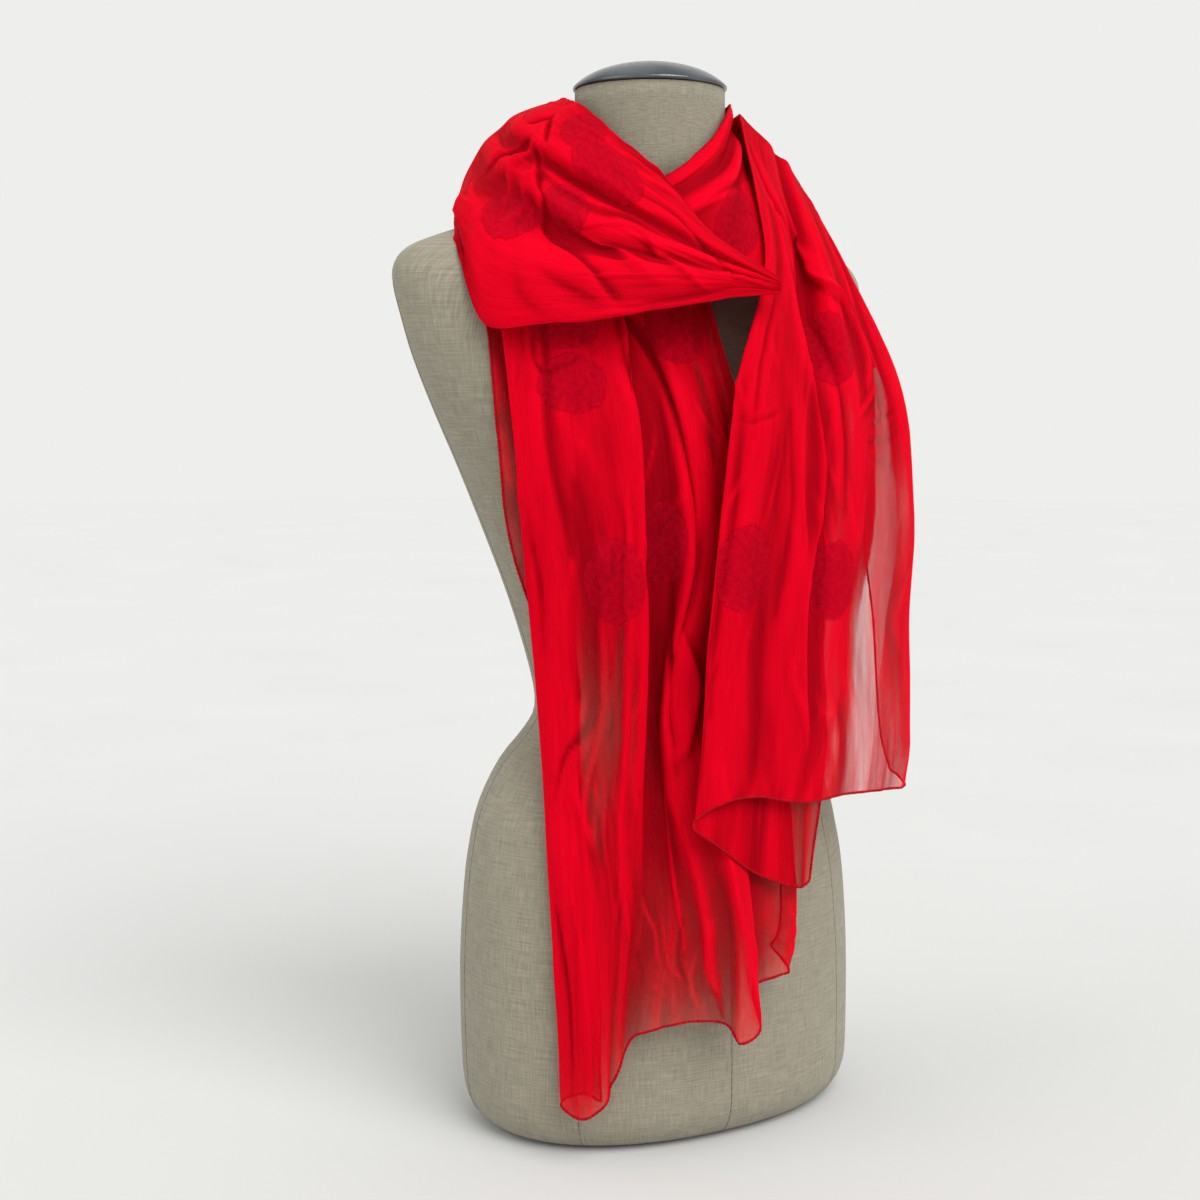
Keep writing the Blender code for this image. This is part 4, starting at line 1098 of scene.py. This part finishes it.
def between(grid, x, y):
    """Point and normal of a grid at a column and a row with their fractions."""
    i = min(int(x), len(grid[0]) - 2)
    j = min(int(y), len(grid) - 2)
    near = grid[j][i].lerp(grid[j][i + 1], x - i)
    far = grid[j + 1][i].lerp(grid[j + 1][i + 1], x - i)
    n0 = grid_normal(grid, j, i).lerp(grid_normal(grid, j, i + 1), x - i)
    n1 = grid_normal(grid, j + 1, i).lerp(grid_normal(grid, j + 1, i + 1), x - i)
    return near.lerp(far, y - j), n0.lerp(n1, y - j).normalized()


def add_spot(number, stretch, across, along, width, height):
    """A disc of felt on a stretch's own surface, thin and ragged at its rim."""
    (grid, _, _, hollows, _), side = stretches[stretch]
    rows = len(grid) - 1
    columns = len(grid[0]) - 1
    row = round(along * rows)
    column = round(across * columns)
    wide = runs(grid[row])
    far = runs([line[column] for line in grid])
    s0 = wide[column]
    t0 = far[row]
    shape = bmesh.new()
    uv = shape.loops.layers.uv.new("cloth")
    rim = shape.verts.layers.float.new("rim")
    hollow = shape.verts.layers.float.new("hollow")
    bmesh.ops.create_grid(shape, x_segments=FELT_STEPS, y_segments=FELT_STEPS, size=1, calc_uvs=True)
    flat = {}
    for v in shape.verts:
        x, y = v.co.x, v.co.y
        disc = Vector((x * math.sqrt(1 - y * y / 2), y * math.sqrt(1 - x * x / 2), 0))
        turn = math.atan2(disc.y, disc.x)
        ragged = 1 + 0.07 * noise.noise(Vector((2 * math.cos(turn), 2 * math.sin(turn), number * 3.7)))
        ragged += 0.03 * noise.noise(Vector((9 * math.cos(turn), 9 * math.sin(turn), number * 5.1)))
        s = disc.x * ragged * width / 2
        t = disc.y * ragged * height / 2
        flat[v] = (s, t)
        out = disc.length
        v[rim] = max(0.0, (out - 0.5) / 0.5)
        matted = 0.25 * noise.noise(Vector((s / 4, t / 4, number)))
        lift = CLOTH / 2 + 0.15 + (FELT + matted) * (1 - 0.95 * smooth_step((out - 0.35) / 0.65))
        column_place = at_place(wide, s0 + s)
        row_place = at_place(far, t0 + t)
        point, normal = between(grid, column_place, row_place)
        # The cloth's hollow under each place, by which the felt paints shade.
        v[hollow] = hollows[round(row_place)][round(column_place)]
        v.co = point + normal * side * lift * MM
    for face in shape.faces:
        for corner in face.loops:
            corner[uv].uv = Vector(flat[corner.vert]) * MM
    if side > 0:
        bmesh.ops.reverse_faces(shape, faces=shape.faces)
    name = f"felted_spot_{number:02d}"
    piece = finish_piece(shape, name, felt)
    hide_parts(f"felt_dot_{number:02d}")
    return piece


spots = {name: [] for name in stretches}
for number, (stretch, *spot) in enumerate(SPOTS, start=1):
    spots[stretch].append(add_spot(number, stretch, *spot))

# ---------------------------------------------------------------- floor, light and camera
# A pale seamless floor under even studio light: a broad soft key to the right of the
# camera, a weak fill to its left, and light walls all round.

FLOOR_RADIUS = 9.0

floor_material, floor_tree, floor_output = new_material("white_studio_floor")
# Matt painted board: very faint unevenness, about 0.3 m across.
floor_place = add_node(floor_tree, "ShaderNodeTexCoord", {}, {}).outputs["Object"]
floor_noise = add_node(floor_tree, "ShaderNodeTexNoise", {},
                       {"Vector": floor_place, "Scale": 3.0, "Detail": 2.0})
floor_ramp = add_node(floor_tree, "ShaderNodeValToRGB", {}, {0: floor_noise.outputs[0]})
floor_ramp.color_ramp.elements[0].color = colour("C8C8C7")
floor_ramp.color_ramp.elements[1].color = colour("CCCCCB")
floor_shader = add_node(floor_tree, "ShaderNodeBsdfPrincipled", {},
                        {"Base Color": floor_ramp.outputs[0], "Roughness": 1.0, "Specular IOR Level": 0.0})
floor_tree.links.new(floor_shader.outputs[0], floor_output.inputs[0])
floor_shape = bmesh.new()
bmesh.ops.create_circle(floor_shape, cap_ends=True, segments=128, radius=FLOOR_RADIUS,
                        matrix=Matrix.Translation((0, 0, -0.0005)))
floor_mesh = bpy.data.meshes.new("studio_floor")
floor_shape.to_mesh(floor_mesh)
floor_shape.free()
floor_mesh.materials.append(floor_material)
floor = bpy.data.objects.new("studio_floor", floor_mesh)
bpy.context.scene.collection.objects.link(floor)


def add_sun(name, azimuth, elevation, softness, strength):
    """Even light from a far soft source: its direction and its angular size in degrees."""
    data = bpy.data.lights.new(name, 'SUN')
    data.angle = math.radians(softness)
    data.energy = strength
    lamp = bpy.data.objects.new(name, data)
    turn = math.radians(azimuth)
    tilt = math.radians(elevation)
    source = Vector((math.sin(turn) * math.cos(tilt), -math.cos(turn) * math.cos(tilt), math.sin(tilt)))
    lamp.rotation_euler = (-source).to_track_quat('-Z', 'Y').to_euler()
    bpy.context.scene.collection.objects.link(lamp)


add_sun("key_light", 8, 46, 45, 2.2)
add_sun("fill_light", -95, 30, 40, 0.5)

world = bpy.data.worlds.new("light_walls")
world.use_nodes = True
world.node_tree.nodes["Background"].inputs["Color"].default_value = colour("F1F2EF")
world.node_tree.nodes["Background"].inputs["Strength"].default_value = 0.97
bpy.context.scene.world = world
bpy.context.scene.view_settings.view_transform = 'Standard'

CAMERA_AZIMUTH = math.radians(-30)
CAMERA_DISTANCE = 1.4
CAMERA_HEIGHT = 0.55
CAMERA_YAW = math.radians(1.7444)   # turned left, so that the form stands right of the middle
CAMERA_PITCH = math.radians(6.3)

camera_data = bpy.data.cameras.new("camera")
camera_data.lens = 54.2
camera_data.sensor_width = 36
camera = bpy.data.objects.new("camera", camera_data)
camera.location = (math.sin(CAMERA_AZIMUTH) * CAMERA_DISTANCE, -math.cos(CAMERA_AZIMUTH) * CAMERA_DISTANCE,
                   CAMERA_HEIGHT)
towards_form = Vector((-math.sin(CAMERA_AZIMUTH), math.cos(CAMERA_AZIMUTH), 0))
level_look = Matrix.Rotation(CAMERA_YAW, 3, 'Z') @ towards_form
look = level_look * math.cos(CAMERA_PITCH) - Vector((0, 0, math.sin(CAMERA_PITCH)))
camera.rotation_euler = look.to_track_quat('-Z', 'Y').to_euler()
bpy.context.scene.collection.objects.link(camera)
bpy.context.scene.camera = camera
